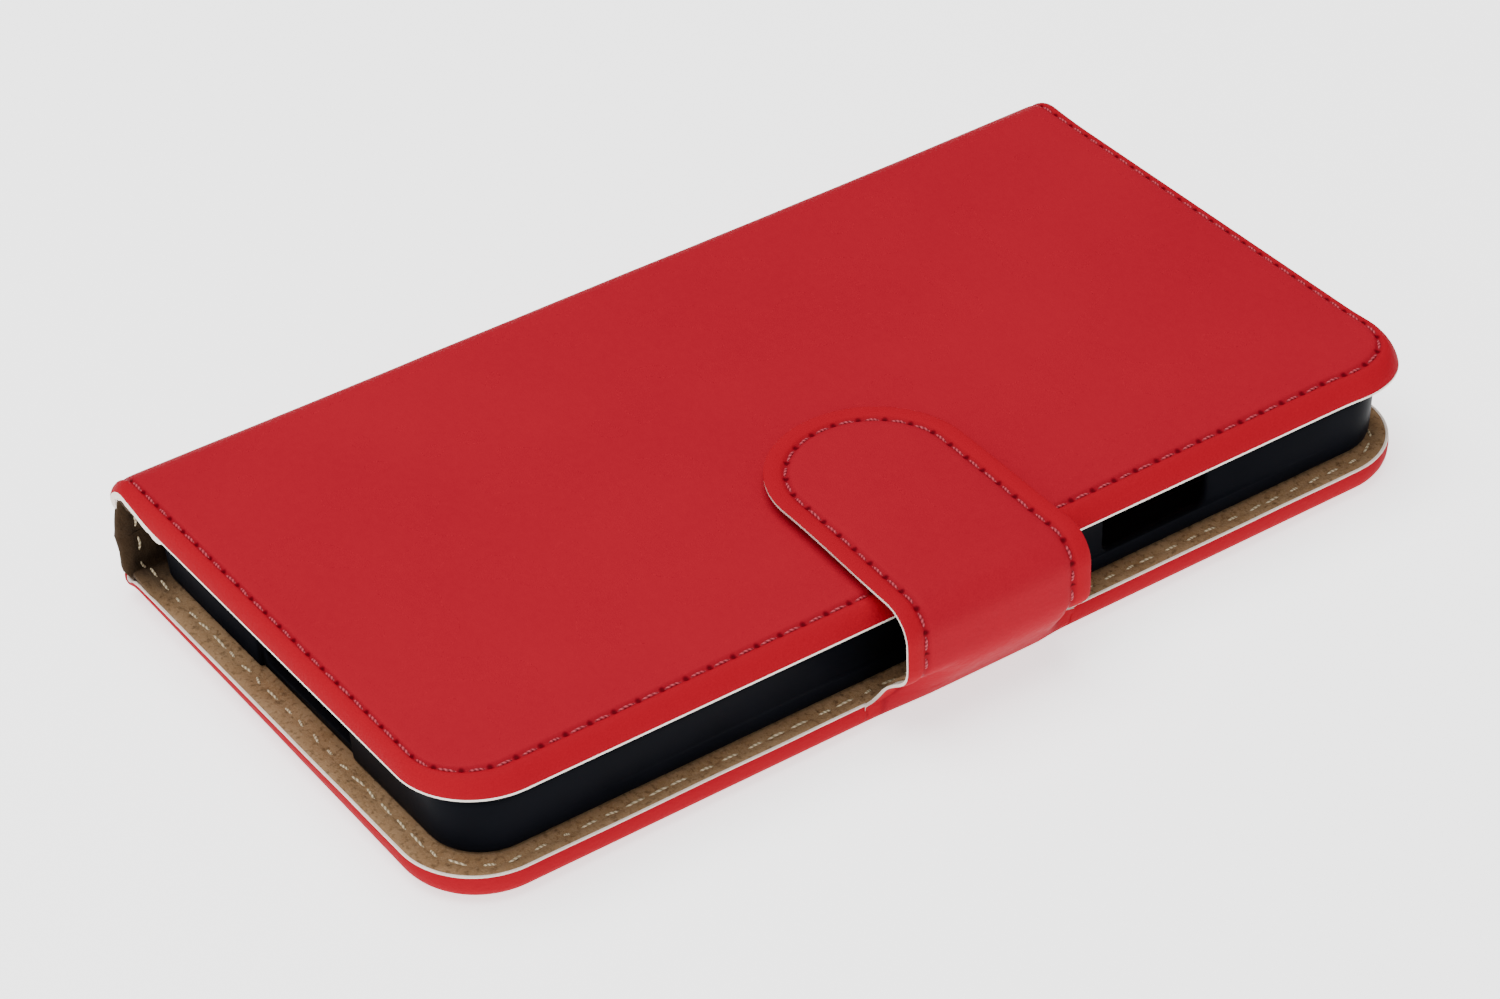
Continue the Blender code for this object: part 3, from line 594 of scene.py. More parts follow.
def back_place(across, y, height, inset, layer):
    share = roll_share(across, BACK_RUNOUT)
    lifted = height * share
    if layer == 1:
        lifted = -LEATHER + (height + LEATHER) * share
    elif height > -1.5:
        lifted -= dimple(inset, BACK_SEAM, SKIN_DIMPLE)
    y_out = y - math.copysign(end_recess(-1, across, y, HALF_BACK), y)
    x, y_out, z = cover_point(-1, across, y_out, lifted)
    if across > -FOLD_ARC:
        room = max(BACK_FACE - z, 0.0) / BACK_FACE
        z += back_rise(across, y) * room * smooth(-FOLD_ARC, 2.0, across)
    wave = waves(across, y, RIM_WAVES) * smooth(*RIM_WAVE_HEIGHT, height)
    return x, y_out, z + wave * smooth(*RIM_WAVE_INSET, inset)


BACK_PANEL = Panel(back_place, MID_SPINE, COVER_SPAN, HALF_BACK, CORNER_RADIUS, BACK_SEAM)


# --- Lining ---
LINING_FACE = (
    (CORNER_RADIUS, 0.0), (8.0, 0.0), (6.0, 0.02), (4.6, 0.03), (3.8, 0.0), (3.3, 0.0), (2.9, 0.0),
    (2.5, 0.0), (2.1, 0.0), (1.7, 0.0), (1.3, 0.0), (LINING_EDGE + 0.3, -0.02),
    (LINING_EDGE + 0.08, -0.1), (LINING_EDGE, -0.25),
)
LINING_UNDER = ((LINING_EDGE, -LINING), (2.0, -LINING), (3.2, -LINING), (4.0, -LINING),
                (CORNER_RADIUS, -LINING))


DEPTH_RUN = (-5.8, -0.4)  # across, where the lining rises from the spine onto the board
SAG_SPINE, SAG_COVER, SAG_INSET = (-13.0, -8.0), (7.0, 1.0), (3.4, 0.8)
SPINE_WAVE_RUN = (1.5, -4.0)
NAP_WAVES = ((0.03, 6.0, 5.5),)
NAP_INSET = (0.6, 1.5)
END_WAVES, END_REACH = 1.2, 16.0  # extra waves at the spine's ends, and how far in they reach
# across, from where the lining's painted shade starts to where it is full at the fold
PAINTED_SHADE_RUN = (11.0, -1.0)


def lining_place(side, half):
    """The lining's place function: over the board on the cover, close to the leather elsewhere."""
    over_board = BACK_FACE if side < 0 else FRONT_TOP - FRONT_FACE

    def place(across, y, height, inset, layer):
        on_spine = smooth(*SPINE_WAVE_RUN, across)
        depth = mix(SPINE_DEPTH, over_board, smooth(*DEPTH_RUN, across))
        at_fold = smooth(*SAG_SPINE, across) * smooth(*SAG_COVER, across)
        lifted = depth + height + FOLD_SAG * at_fold * smooth(*SAG_INSET, inset)
        if layer == 0:
            lifted -= dimple(inset, INNER_SEAM, LINING_DIMPLE)
            lifted += waves(across, y, NAP_WAVES) * smooth(*NAP_INSET, inset)
            end = 1.0 + END_WAVES * smooth(END_REACH, 0.0, half - abs(y))
            wave = ripple(across * 0.6, y, 3.6, 2.3) + 0.5 * ripple(across, y, 1.7, 8.8)
            lifted += on_spine * end * (0.3 * wave + 0.2)
        else:
            filled = smooth(9.0, 3.0, across) * smooth(3.7, 3.2, inset) * smooth(1.4, 2.4, inset)
            lowest = LEATHER + 0.05 + (back_rise(across, y) if side < 0 else 0.0)
            lifted = mix(lifted, min(lifted, lowest), filled)
        ragged = 0.4 * ripple(across, y, 2.2, 9.1) + 0.85
        beyond = past_fold(side, across) * ragged * smooth(6.0, 0.6, inset)
        y_out = y + math.copysign(beyond, y)
        return cover_point(side, across, y_out, -lifted)
    return place


def lining_panel(side, half):
    return Panel(lining_place(side, half), MID_SPINE, COVER_SPAN, half, CORNER_RADIUS, INNER_SEAM,
                 INNER_END_SHARE, LINING_STEP)


def make_lining(name, panel, suede):
    rows = rows_of(LINING_FACE, 0, 0) + rows_of(LINING_UNDER, 0, 1)
    return panel.build(name, rows, [suede], lambda across: smooth(*PAINTED_SHADE_RUN, across))


# --- Strap ---
def strap_path():
    """Outer face of the strap in X and Z: root, side, fold and tongue."""
    root = (X_EDGE - BACK_ROLL, STRAP_ROOT_RADIUS)
    bend = arc_points(root, STRAP_ROOT_RADIUS, -math.pi / 2, STRAP_SLOPE - math.pi / 2, 12)
    start_x, start_z = bend[-1]
    turn = math.pi / 2 - STRAP_SLOPE
    belly_x = X_STRAP - STRAP_BELLY_RADIUS * (1 - math.cos(turn))
    belly_z = start_z + math.tan(STRAP_SLOPE) * (belly_x - start_x)
    centre = (X_STRAP - STRAP_BELLY_RADIUS, belly_z + STRAP_BELLY_RADIUS * math.sin(turn))
    belly = arc_points(centre, STRAP_BELLY_RADIUS, -turn, 0.0, 16)
    top_centre = (X_STRAP - STRAP_TOP_RADIUS, TAB_TOP - STRAP_TOP_RADIUS)
    top = arc_points(top_centre, STRAP_TOP_RADIUS, 0.0, math.pi / 2, 24)
    return bend + belly + top + [(TAB_TIP, TAB_TOP)]


STRAP = Path(strap_path())
STRAP_SPLIT = STRAP.distance_at_height(STRAP_SPLIT_Z)
STRAP_TIP = STRAP.length
TONGUE = STRAP_TIP - (X_STRAP - STRAP_TOP_RADIUS - TAB_TIP)
RIM_WALL = Path([(X_EDGE - inset, -height) for inset, height in back_rim() + [BACK_CUT[0]]
                 if inset <= BACK_ROLL])
RIM_LENGTH = RIM_WALL.length
RIM_LINE = Path([tuple(point) for point in RIM_WALL.points] + [(X_EDGE - 0.02, TAB_TOP)])
STRAP_OUTER = (
    (0.0, -0.14), (0.12, -0.06), (0.35, 0.0), (0.75, 0.05), (1.3, 0.07), (1.9, 0.03), (2.3, -0.02),
    (2.6, -0.06), (TAB_SEAM, -0.08), (3.0, -0.05), (3.4, 0.0), (4.2, 0.03), (5.5, 0.07),
    (7.5, 0.12), (10.0, 0.16), (TIP_HALF, 0.18),
)
STRAP_INNER_INSETS = (0.05, 0.4, 1.2, 3.0, 7.0, TIP_HALF)
TONGUE_LINING_INSETS = (8.0, 4.0, 2.0, 0.8, 0.25)
STRAP_WAVES = ((0.05, 9.0, 6.4),)
ROOT_PLAIN = 4.0  # length past the rim over which the strap's relief appears
ROOT_TUCK = 0.12  # how far the root's edge is tucked under the rim's skin
TAPER_START = 4.0  # how far before the tongue its taper and lean start


def strap_half(distance):
    """Half the strap's width: full behind the rim, a concave flare, then a slight taper."""
    if distance <= RIM_LENGTH:
        return STRAP_HALF + STRAP_FLARE
    if distance < RIM_LENGTH + STRAP_FLARE:
        left = RIM_LENGTH + STRAP_FLARE - distance
        return STRAP_HALF + STRAP_FLARE - math.sqrt(STRAP_FLARE ** 2 - left ** 2)
    return mix(STRAP_HALF, TIP_HALF, smooth(TONGUE - TAPER_START, STRAP_TIP - TIP_HALF, distance))


def strap_point(distance, y, height):
    """A point off the strap's outer face. Beside its root it joins the cover's rolled edge."""
    x, z = STRAP.at(distance)
    out_x, out_z = STRAP.outward(distance)
    past_cut = STRAP_HALF + STRAP_FLARE - abs(y)
    reach = ROOT_REACH_NEAR if y < 0 else ROOT_REACH_FAR
    apart = max(smooth(1.0, reach, past_cut), smooth(RIM_LENGTH - 3.0, RIM_LENGTH + 9.0, distance))
    if apart < 1.0:
        wall_x, wall_z = RIM_LINE.at(distance)
        wall_out = RIM_LINE.outward(distance)
        x, z = mix(wall_x, x, apart), mix(wall_z, z, apart)
        out_x, out_z = mix(wall_out[0], out_x, apart), mix(wall_out[1], out_z, apart)
    return x + out_x * height, y + STRAP_SIDE, z + out_z * height


def strap_relief(distance, y, inset, height):
    """Relief of the strap's outer face. Beside the rim its edge is tucked under the rim's skin."""
    if distance < RIM_LENGTH:
        in_rim = smooth(RIM_LENGTH, RIM_LENGTH - 0.6, distance)
        return -ROOT_TUCK * smooth(0.75, 0.35, inset) * in_rim
    worked = smooth(RIM_LENGTH, RIM_LENGTH + ROOT_PLAIN, distance)
    lifted = height - dimple(inset, TAB_SEAM, STRAP_DIMPLE) + waves(distance, y, STRAP_WAVES)
    return worked * lifted


def ply_depths(distance, lining):
    """Depths of a ply's outer and inner faces under the strap's outer face."""
    if not lining:
        return 0.0, STRAP_LEATHER
    in_tab = smooth(STRAP_SPLIT + 1.0, TONGUE, distance)
    inner = mix(STRAP_LEATHER + STRAP_LINING, TAB_TOP - TAB_BOTTOM, in_tab)
    return STRAP_LEATHER + 0.02, inner


def strap_place(lining):
    """The strap's place function, with the tongue's taper and its tip's sideways lean."""
    def place(distance, y, height, inset, layer):
        half = strap_half(min(distance, STRAP_TIP - TIP_HALF))
        lean = TIP_SIDE * smooth(TONGUE - TAPER_START, STRAP_TIP - TIP_HALF, distance)
        y_out = y * half / STRAP_HALF + lean
        outer, inner = ply_depths(distance, lining)
        if layer == 1:
            return strap_point(distance, y_out, -inner)
        relief = -outer if lining else strap_relief(distance, y, inset, height)
        return strap_point(distance, y_out, relief)
    return place


def tongue_panel(lining):
    cut = STRAP_LINING_IN if lining else 0.0
    return Panel(strap_place(lining), STRAP_SPLIT, STRAP_TIP - cut, STRAP_HALF - cut,
                 TIP_HALF - cut, TAB_SEAM, step=STRAP_STEP)


def make_tongue(name, panel, skins):
    rows = rows_of(reversed(STRAP_OUTER), 0, 0)
    rows += [(inset, 0.0, 1 if number < 1 else 2, 1)
             for number, inset in enumerate(STRAP_INNER_INSETS)]
    return panel.build(name, rows, skins)


def make_tongue_lining(name, panel, suede):
    insets = (panel.radius, *TONGUE_LINING_INSETS)
    rows = [(inset, 0.0, 0, 0) for inset in insets] + [(0.0, 0.0, 0, 0)]
    rows += [(inset, 0.0, 0, 1) for inset in reversed(insets)]
    return panel.build(name, rows, [suede])


def make_strap_root(name, lining, start, materials):
    """The strap from the cover's edge to the top of its side, ring by ring."""
    lengths = [float(length) for length in RIM_WALL.lengths if length >= start]
    lengths += spaced(RIM_LENGTH, RIM_LENGTH + STRAP_FLARE, 0.3)[1:]
    lengths += spaced(RIM_LENGTH + STRAP_FLARE, STRAP_SPLIT, STRAP_STEP)[1:]
    heights = dict(STRAP_OUTER)
    skin, ply = list(heights), list(STRAP_INNER_INSETS)
    squeeze = 1 - (STRAP_LINING_IN + 0.3) / TIP_HALF if lining else 1.0
    rings, seam_uv = [], []
    for distance in lengths:
        half = strap_half(distance) - (STRAP_LINING_IN if lining else 0.0)
        outer, inner = ply_depths(distance, lining)
        ring = []
        for insets, side, layer in ((skin, -1, 0), (skin[::-1], 1, 0), (ply, 1, 1), (ply[::-1], -1, 1)):
            ring += [(side * (half - inset * squeeze), inset, layer) for inset in insets]
        rings.append([])
        for y, inset, layer in ring:
            height = -outer if lining else strap_relief(distance, y, inset, heights.get(inset, 0))
            rings[-1].append(strap_point(distance, y, -inner if layer else height))
            seam_uv.append((BARE, seam_uv_at(inset, TAB_SEAM)))
    edge_faces = (2 * len(skin) - 1, len(ring) - 1)
    slots = [0 if k < edge_faces[0] else min(1 if k in edge_faces else 2, len(materials) - 1)
             for k in range(len(ring))]
    return make_rings(name, rings, materials, slots, {"Seam": seam_uv})


# --- Cradle ---
CRADLE_RADIUS = 8.0
CRADLE_SPINE_RADIUS = 3.4
CRADLE_FAR_END = 1.7  # how much nearer the cover's end it comes at +Y
CRADLE_TURNS = 12
FLOOR_RISE = 1.4  # cradle's floor above its underside
CRADLE_OUTSIDE = ((1.1, 0.0), (0.72, 0.1), (0.45, 0.4), (0.32, 0.85), (0.22, 2.5), (0.08, 5.2))
CRADLE_LIP = ((0.0, -1.1), (0.03, -0.7), (0.12, -0.35), (0.3, -0.1), (0.6, 0.0), (1.25, 0.0),
              (1.6, -0.1), (1.78, -0.35), (1.75, -0.75), (1.5, -1.05), (1.32, -1.4))
CRADLE_INSIDE = ((1.5, 1.6), (1.62, 0.8), (1.85, 0.3), (2.3, 0.04), (2.8, 0.0), (6.0, 0.0),
                 (6.2, -0.06), (6.4, -0.2), (6.6, -0.22))
PORT_WIDTH = 23.0
PORT_SILL_DEPTH = 1.15  # how far the floor's edge is set back below the port
BUTTON_WIDTH = 17.2
JACK_WIDTH = 16.0
BUTTON_SILL = 7.0
NOTCH_RADIUS = 1.6
WALL_CUT = 2.6  # how deep a wall's opening is cut
CUT_PAST = 2.0  # how far a cutter reaches past what it cuts
CRADLE_GAP = 0.12  # adhesive sheet under the cradle


def cradle_ring(low, high, inset, z):
    """A rounded rectangle inside a box's plan, counter-clockwise, with small corners at -X."""
    x0, y0 = low.x + inset, low.y + inset
    x1, y1 = high.x - inset, high.y - inset
    small = max(CRADLE_SPINE_RADIUS - inset, 0.8)
    large = max(CRADLE_RADIUS - inset, 0.8)
    corners = ((x0 + small, y0 + small, small, 2), (x1 - large, y0 + large, large, 3),
               (x1 - large, y1 - large, large, 0), (x0 + small, y1 - small, small, 1))
    plan = []
    for x, y, radius, quarter in corners:
        start = quarter * math.pi / 2
        plan += arc_points((x, y), radius, start, start + math.pi / 2, CRADLE_TURNS)
    return [(x, y, z) for x, y in plan]


def notch_outline(middle, width, sill, top):
    """A cut-out open at the top, with round lower corners."""
    left, right, r = middle - width / 2, middle + width / 2, NOTCH_RADIUS
    low = arc_points((left + r, sill + r), r, math.pi, 1.5 * math.pi, 6)
    high = arc_points((right - r, sill + r), r, -math.pi / 2, 0.0, 6)
    return [(left, top)] + low + high + [(right, top)]


def window_outline(margin=0.0):
    radius = WINDOW_WIDTH / 2 + margin
    straight = (WINDOW_LENGTH - WINDOW_WIDTH) / 2
    top = arc_points((WINDOW.x, WINDOW.y + straight), radius, 0.0, math.pi, 20)
    bottom = arc_points((WINDOW.x, WINDOW.y - straight), radius, math.pi, 2 * math.pi, 20)
    return top + bottom


def window_cutter(material):
    return make_prism("window_cutter", window_outline(), *WINDOW_CUT, material, along_z)


def make_cradle(plastic):
    low, high = box_mm("phone_cradle")
    high.y += CRADLE_FAR_END
    foot = BACK_FACE + CRADLE_GAP
    rows = [(inset, foot + rise) for inset, rise in CRADLE_OUTSIDE]
    rows += [(inset, high.z + drop) for inset, drop in CRADLE_LIP]
    rows += [(inset, foot + FLOOR_RISE + rise) for inset, rise in CRADLE_INSIDE]
    rings = [cradle_ring(low, high, inset, z) for inset, z in rows]
    cradle = make_rings("cradle_shell", rings, [plastic], sharp=40.0)
    port = opening_middle("port_opening").x
    button = opening_middle("button_opening").y
    jack = opening_middle("top_socket_opening").x
    top = high.z + CUT_PAST
    floor = foot + FLOOR_RISE - 0.1
    cuts = (
        ("port", port, PORT_WIDTH, foot - CUT_PAST, low.y - CUT_PAST, low.y + PORT_SILL_DEPTH,
         along_y),
        ("port_inner", port, PORT_WIDTH - 1.0, floor, low.y - 1.0, low.y + WALL_CUT, along_y),
        ("jack", jack, JACK_WIDTH, BUTTON_SILL, high.y - WALL_CUT, high.y + CUT_PAST, along_y),
        ("button", button, BUTTON_WIDTH, BUTTON_SILL, high.x - WALL_CUT, high.x + CUT_PAST,
         along_x),
    )
    cutters = [make_prism(name + "_cutter", notch_outline(middle, width, sill, top), near, far,
                          plastic, face) for name, middle, width, sill, near, far, face in cuts]
    cutters.append(window_cutter(plastic))
    subtract(cradle, cutters)
    discard(cutters)
    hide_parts("phone_cradle")
    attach(cradle, "back_cover")
    return cradle


# --- Pockets inside the front cover ---
POCKET_SEAM = 1.6
HEM = 2.6  # turned hem along a pocket's mouth
HEM_RELIEF = 0.1
INSIDE = 9.0  # an inset past the pocket's worked edge
HEM_SEAM_END = 4.0  # where the hem's seam stops short of the pocket's ends
POCKET_RADIUS = 4.0
POCKET_OUTER = ((POCKET_RADIUS, 0.0), (3.0, 0.0), (2.2, 0.0), (1.9, -0.02), (POCKET_SEAM, -0.04),
                (1.3, -0.02), (0.9, 0.0), (0.5, -0.01), (0.22, -0.05), (0.06, -0.14), (0.0, -0.24))


def pocket_place(low, high):
    """A pocket lies on the front cover's inner face with its outer side down."""
    thickness = high.z - low.z

    def place(across, y, height, inset, layer):
        bottom = high.z if layer else low.z - height
        if layer == 0:
            hem = HEM_RELIEF * smooth(HEM + 0.4, HEM - 0.2, across) * smooth(0.0, 0.5, across)
            wave = 0.04 * ripple(across, y, 14.0, thickness) * smooth(2.0, 8.0, inset)
            bottom += HEM_RELIEF - hem + wave + dimple(inset, POCKET_SEAM, POCKET_DIMPLE)
        return low.x + across, y, bottom
    return place


def leather_skins(mats, face):
    return [mats[face], mats["cut_edge"], mats["backing"]]


def make_pocket(node, mats):
    """A pocket with a turned hem at its mouth, sewn down on its other three sides."""
    low, high = box_mm(node)
    panel = Panel(pocket_place(low, high), 0.0, high.x - low.x, high.y, POCKET_RADIUS,
                  POCKET_SEAM, step=POCKET_STEP)
    rows = rows_of(POCKET_OUTER, 0, 0) + [(0.0, 0.0, 1, 1), (1.0, 0.0, 2, 1),
                                          (POCKET_RADIUS, 0.0, 2, 1)]
    skins = leather_skins(mats, "leather_plain")
    pocket = panel.build(node + "_sewn", rows, skins)
    mouth = 2 * (high.y - HEM_SEAM_END)

    def hem_point(distance, rise):
        return Vector(panel.place(HEM, distance + HEM_SEAM_END - high.y, rise, INSIDE, 0))

    runs = [(panel.seam_point(-0.04), panel.seam_path.length, panel.stitches),
            (hem_point, mouth, round(mouth / STITCH_PITCH))]
    thread = make_stitches(node + "_stitches", runs, mats["red_thread"], width=0.42, height=0.26,
                           sink=0.2)
    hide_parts(node)
    for item in (pocket, thread):
        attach(item, "front_cover")


# --- Materials ---
class Shader:
    """A new material, with short ways to add nodes and join them."""

    def __init__(self, name, colour, roughness, metallic=0.0):
        self.material = bpy.data.materials.new(name)
        self.material.use_nodes = True
        self.tree = self.material.node_tree
        self.surface = self.tree.nodes["Principled BSDF"]
        self.surface.inputs["Base Color"].default_value = (*colour, 1.0)
        self.surface.inputs["Roughness"].default_value = roughness
        self.surface.inputs["Metallic"].default_value = metallic
        self.material.diffuse_color = (*colour, 1.0)
        self.place = self.add("TexCoord").outputs["Object"]

    def feed(self, socket, value):
        """Links a socket to another, or sets its value."""
        if isinstance(value, bpy.types.NodeSocket):
            self.tree.links.new(value, socket)
        else:
            socket.default_value = value

    def add(self, kind, inputs=None, **settings):
        node = self.tree.nodes.new("ShaderNode" + kind)
        for key, value in settings.items():
            setattr(node, key, value)
        for key, value in (inputs or {}).items():
            self.feed(node.inputs[key], value)
        return node

    def uv(self, name):
        """The two values of a UV map."""
        parts = self.add("SeparateXYZ", {0: self.add("UVMap", uv_map=name).outputs["UV"]})
        return parts.outputs["X"], parts.outputs["Y"]

    def noise(self, size, detail=3.0, rough=0.55):
        """Noise from 0 to 1 with features of the given size in millimetres."""
        node = self.add("TexNoise", {"Vector": self.place, "Scale": 1 / (size * MM),
                                     "Detail": detail, "Roughness": rough})
        return node.outputs["Fac"]

    def cells(self, size):
        node = self.add("TexVoronoi", {"Vector": self.place, "Scale": 1 / (size * MM)})
        return node.outputs["Distance"]

    def maths(self, operation, first, second=0.0):
        return self.add("Math", {0: first, 1: second}, operation=operation).outputs[0]

    def times(self, first, second):
        return self.maths("MULTIPLY", first, second)

    def fit(self, value, low, high, to_low, to_high):
        node = self.add("MapRange", {"Value": value, "From Min": low, "From Max": high,
                                     "To Min": to_low, "To Max": to_high})
        return node.outputs["Result"]

    def blend(self, share, first, second):
        """A mix of two colours, each a socket or three numbers."""
        node = self.add("Mix", {0: share}, data_type="RGBA")
        for socket, colour in ((node.inputs[6], first), (node.inputs[7], second)):
            self.feed(socket, (*colour, 1.0) if isinstance(colour, tuple) else colour)
        return node.outputs[2]

    def set(self, **values):
        """Inputs of the surface, with underscores for spaces; sockets are linked."""
        for key, value in values.items():
            self.feed(self.surface.inputs[key.replace("_", " ")], value)

    def bump(self, *layers):
        """Bumps on top of each other, each as (height socket, depth in millimetres)."""
        normal = None
        for height, depth in layers:
            inputs = {"Height": height, "Strength": 1.0, "Distance": depth * MM}
            if normal is not None:
                inputs["Normal"] = normal
            normal = self.add("Bump", inputs).outputs["Normal"]
        self.set(Normal=normal)


RED = (0.300, 0.0080, 0.0182)
RED_DEEP = (0.280, 0.0075, 0.0172)
# painted highlight: brighter red for the rolled band outside the seam
RED_PAINTED_HIGHLIGHT = (0.310, 0.0050, 0.0135)
CREAM = (0.97, 0.88, 0.80)
SUEDE = (0.265, 0.150, 0.071)
SUEDE_DARK = (0.070, 0.036, 0.016)
SUEDE_LIGHT = (0.48, 0.32, 0.182)
BLACK = (0.0030, 0.0034, 0.0050)
HIGHLIGHT_EDGE = 0.5  # millimetres outside the seam where the band's painted highlight is full
THREAD_TWISTS = 5.0  # strands along one stitch


def shade(colour, share):
    return tuple(part * share for part in colour)


def leather_material(name, colour, deep, band_highlight, needle_holes=True):
    """Smooth coated leather: faint tone, fine grain, a painted highlight on the band outside the seam,
    and painted shade at the needle holes and along the seam's groove.
    """
    s = Shader(name, colour, 0.5)
    tone = s.noise(26.0, 3.0)
    mottle = s.noise(1.3, 4.0, 0.65)
    body = s.blend(s.fit(tone, 0.3, 0.7, 0.0, 1.0), deep, colour)
    body = s.blend(s.fit(mottle, 0.35, 0.75, 0.0, 0.3), body, shade(colour, 1.12))
    if needle_holes:
        count, place = s.uv("Seam")
        # painted highlight: the band outside the seam is brighter, standing in for the light that the
        # rolled edge catches
        outside = s.fit(place, SEAM_MIDDLE, SEAM_MIDDLE - HIGHLIGHT_EDGE * SEAM_SCALE, 0.0, 1.0)
        body = s.blend(s.times(outside, 0.85), body, band_highlight)
        # painted shade: dark spots at the needle holes
        along = s.maths("SUBTRACT", s.maths("FRACT", s.maths("ADD", count, 0.5)), 0.5)
        along = s.times(along, STITCH_PITCH)
        off = s.times(s.maths("SUBTRACT", place, SEAM_MIDDLE), 1 / SEAM_SCALE)
        reach = s.maths("SQRT", s.maths("ADD", s.times(along, along), s.times(off, off)))
        hole_shade = s.fit(reach, 0.55, 0.2, 0.0, 1.0)
        body = s.blend(hole_shade, body, shade(deep, 0.2))
        # painted shade: a darker line along the seam's groove
        groove_shade = s.fit(s.maths("ABSOLUTE", off), 0.75, 0.1, 0.0, 0.38)
        body = s.blend(groove_shade, body, shade(deep, 0.5))
    s.set(Base_Color=body, Roughness=s.fit(mottle, 0.3, 0.8, 0.42, 0.60),
          Specular_IOR_Level=0.01)
    s.bump((s.noise(7.0, 2.0), 0.10), (s.cells(0.55), 0.03), (s.noise(0.2, 3.0), 0.015))
    return s.material


def suede_material():
    """Napped microfibre: brushed patches, flecks of light and dark fibre, soft sheen, and painted shade
    towards the fold.
    """
    s = Shader("brown_suede_nap", SUEDE, 0.95)
    nap = s.noise(5.0, 4.0, 0.7)
    fibre = s.noise(0.34, 5.0, 0.75)
    fleck = s.noise(0.8, 3.0, 0.6)
    body = s.blend(s.fit(nap, 0.3, 0.7, 0.0, 0.45), SUEDE, SUEDE_LIGHT)
    body = s.blend(s.fit(fleck, 0.50, 0.72, 0.0, 0.75), body, SUEDE_DARK)
    body = s.blend(s.fit(fibre, 0.52, 0.78, 0.0, 0.8), body, SUEDE_LIGHT)
    # painted shade: the lining darkens towards the fold and spine, where the front cover shades it
    body = s.blend(s.times(s.uv("Wear")[0], 0.92), body, shade(SUEDE_DARK, 0.3))
    s.set(Base_Color=body, Specular_IOR_Level=0.05, Sheen_Weight=0.04, Sheen_Roughness=0.6)
    s.bump((nap, 0.25), (fibre, 0.16))
    return s.material


def fuzzy_material(name, colour, dark, depth):
    """Knitted or cut textile edge with loose fibres."""
    s = Shader(name, colour, 0.85)
    fibre = s.noise(0.25, 4.0, 0.7)
    patch = s.noise(3.0, 3.0)
    body = s.blend(s.fit(fibre, 0.45, 0.8, 0.0, 0.5), colour, dark)
    body = s.blend(s.fit(patch, 0.45, 0.75, 0.0, 0.3), body, dark)
    s.set(Base_Color=body, Specular_IOR_Level=0.2)
    s.bump((fibre, depth))
    return s.material


def thread_material(name, colour, light):
    """Twisted thread: slanting strands from the stitch's own coordinates, painted light and dark as
    highlight and shade on the twist, with painted highlight specks.
    """
    s = Shader(name, colour, 0.6)
    along, around = s.uv("Seam")
    lead = s.maths("ADD", s.times(along, THREAD_TWISTS), around)
    strand = s.maths("SINE", s.times(lead, 2 * math.pi))
    strand = s.fit(strand, -1.0, 1.0, 0.0, 1.0)
    # painted highlight and shade: strands run from a darkened copy of the thread's colour to the light
    # colour
    body = s.blend(strand, shade(colour, 0.55), light)
    # painted highlight specks on the thread
    highlight_specks = s.noise(0.3)
    body = s.blend(s.fit(highlight_specks, 0.5, 0.8, 0.0, 0.5), body, light)
    s.set(Base_Color=body, Specular_IOR_Level=0.2)
    s.bump((strand, 0.06), (highlight_specks, 0.02))
    return s.material


def plastic_material():
    """Moulded black plastic: a satin skin with a very fine spark texture."""
    s = Shader("black_plastic_satin", BLACK, 0.4)
    cloud = s.noise(9.0, 2.0)
    spark = s.noise(0.12, 2.0)
    s.set(Base_Color=s.blend(s.fit(cloud, 0.3, 0.7, 0.0, 1.0), BLACK, shade(BLACK, 1.35)),
          Roughness=s.fit(cloud, 0.3, 0.7, 0.32, 0.45), Specular_IOR_Level=0.012)
    s.bump((spark, 0.008))
    return s.material


def grain_material(name, colour, grain, tints, roughness, spread=None, depth=0.0, metallic=0.0):
    """A plain surface: one grain between two tints, with an even or a grained roughness."""
    s = Shader(name, colour, roughness, metallic)
    fibre = s.noise(*grain)
    s.set(Base_Color=s.blend(fibre, *tints))
    if spread:
        s.set(Roughness=s.fit(fibre, 0.3, 0.7, *spread))
    if depth:
        s.bump((fibre, depth))
    return s.material


def metal_material(name, colour, roughness):
    tints = shade(colour, 0.85), shade(colour, 1.1)
    return grain_material(name, colour, (0.5, 4.0, 0.7), tints, roughness,
                          (roughness * 0.7, roughness * 1.3), 0.01, 1.0)


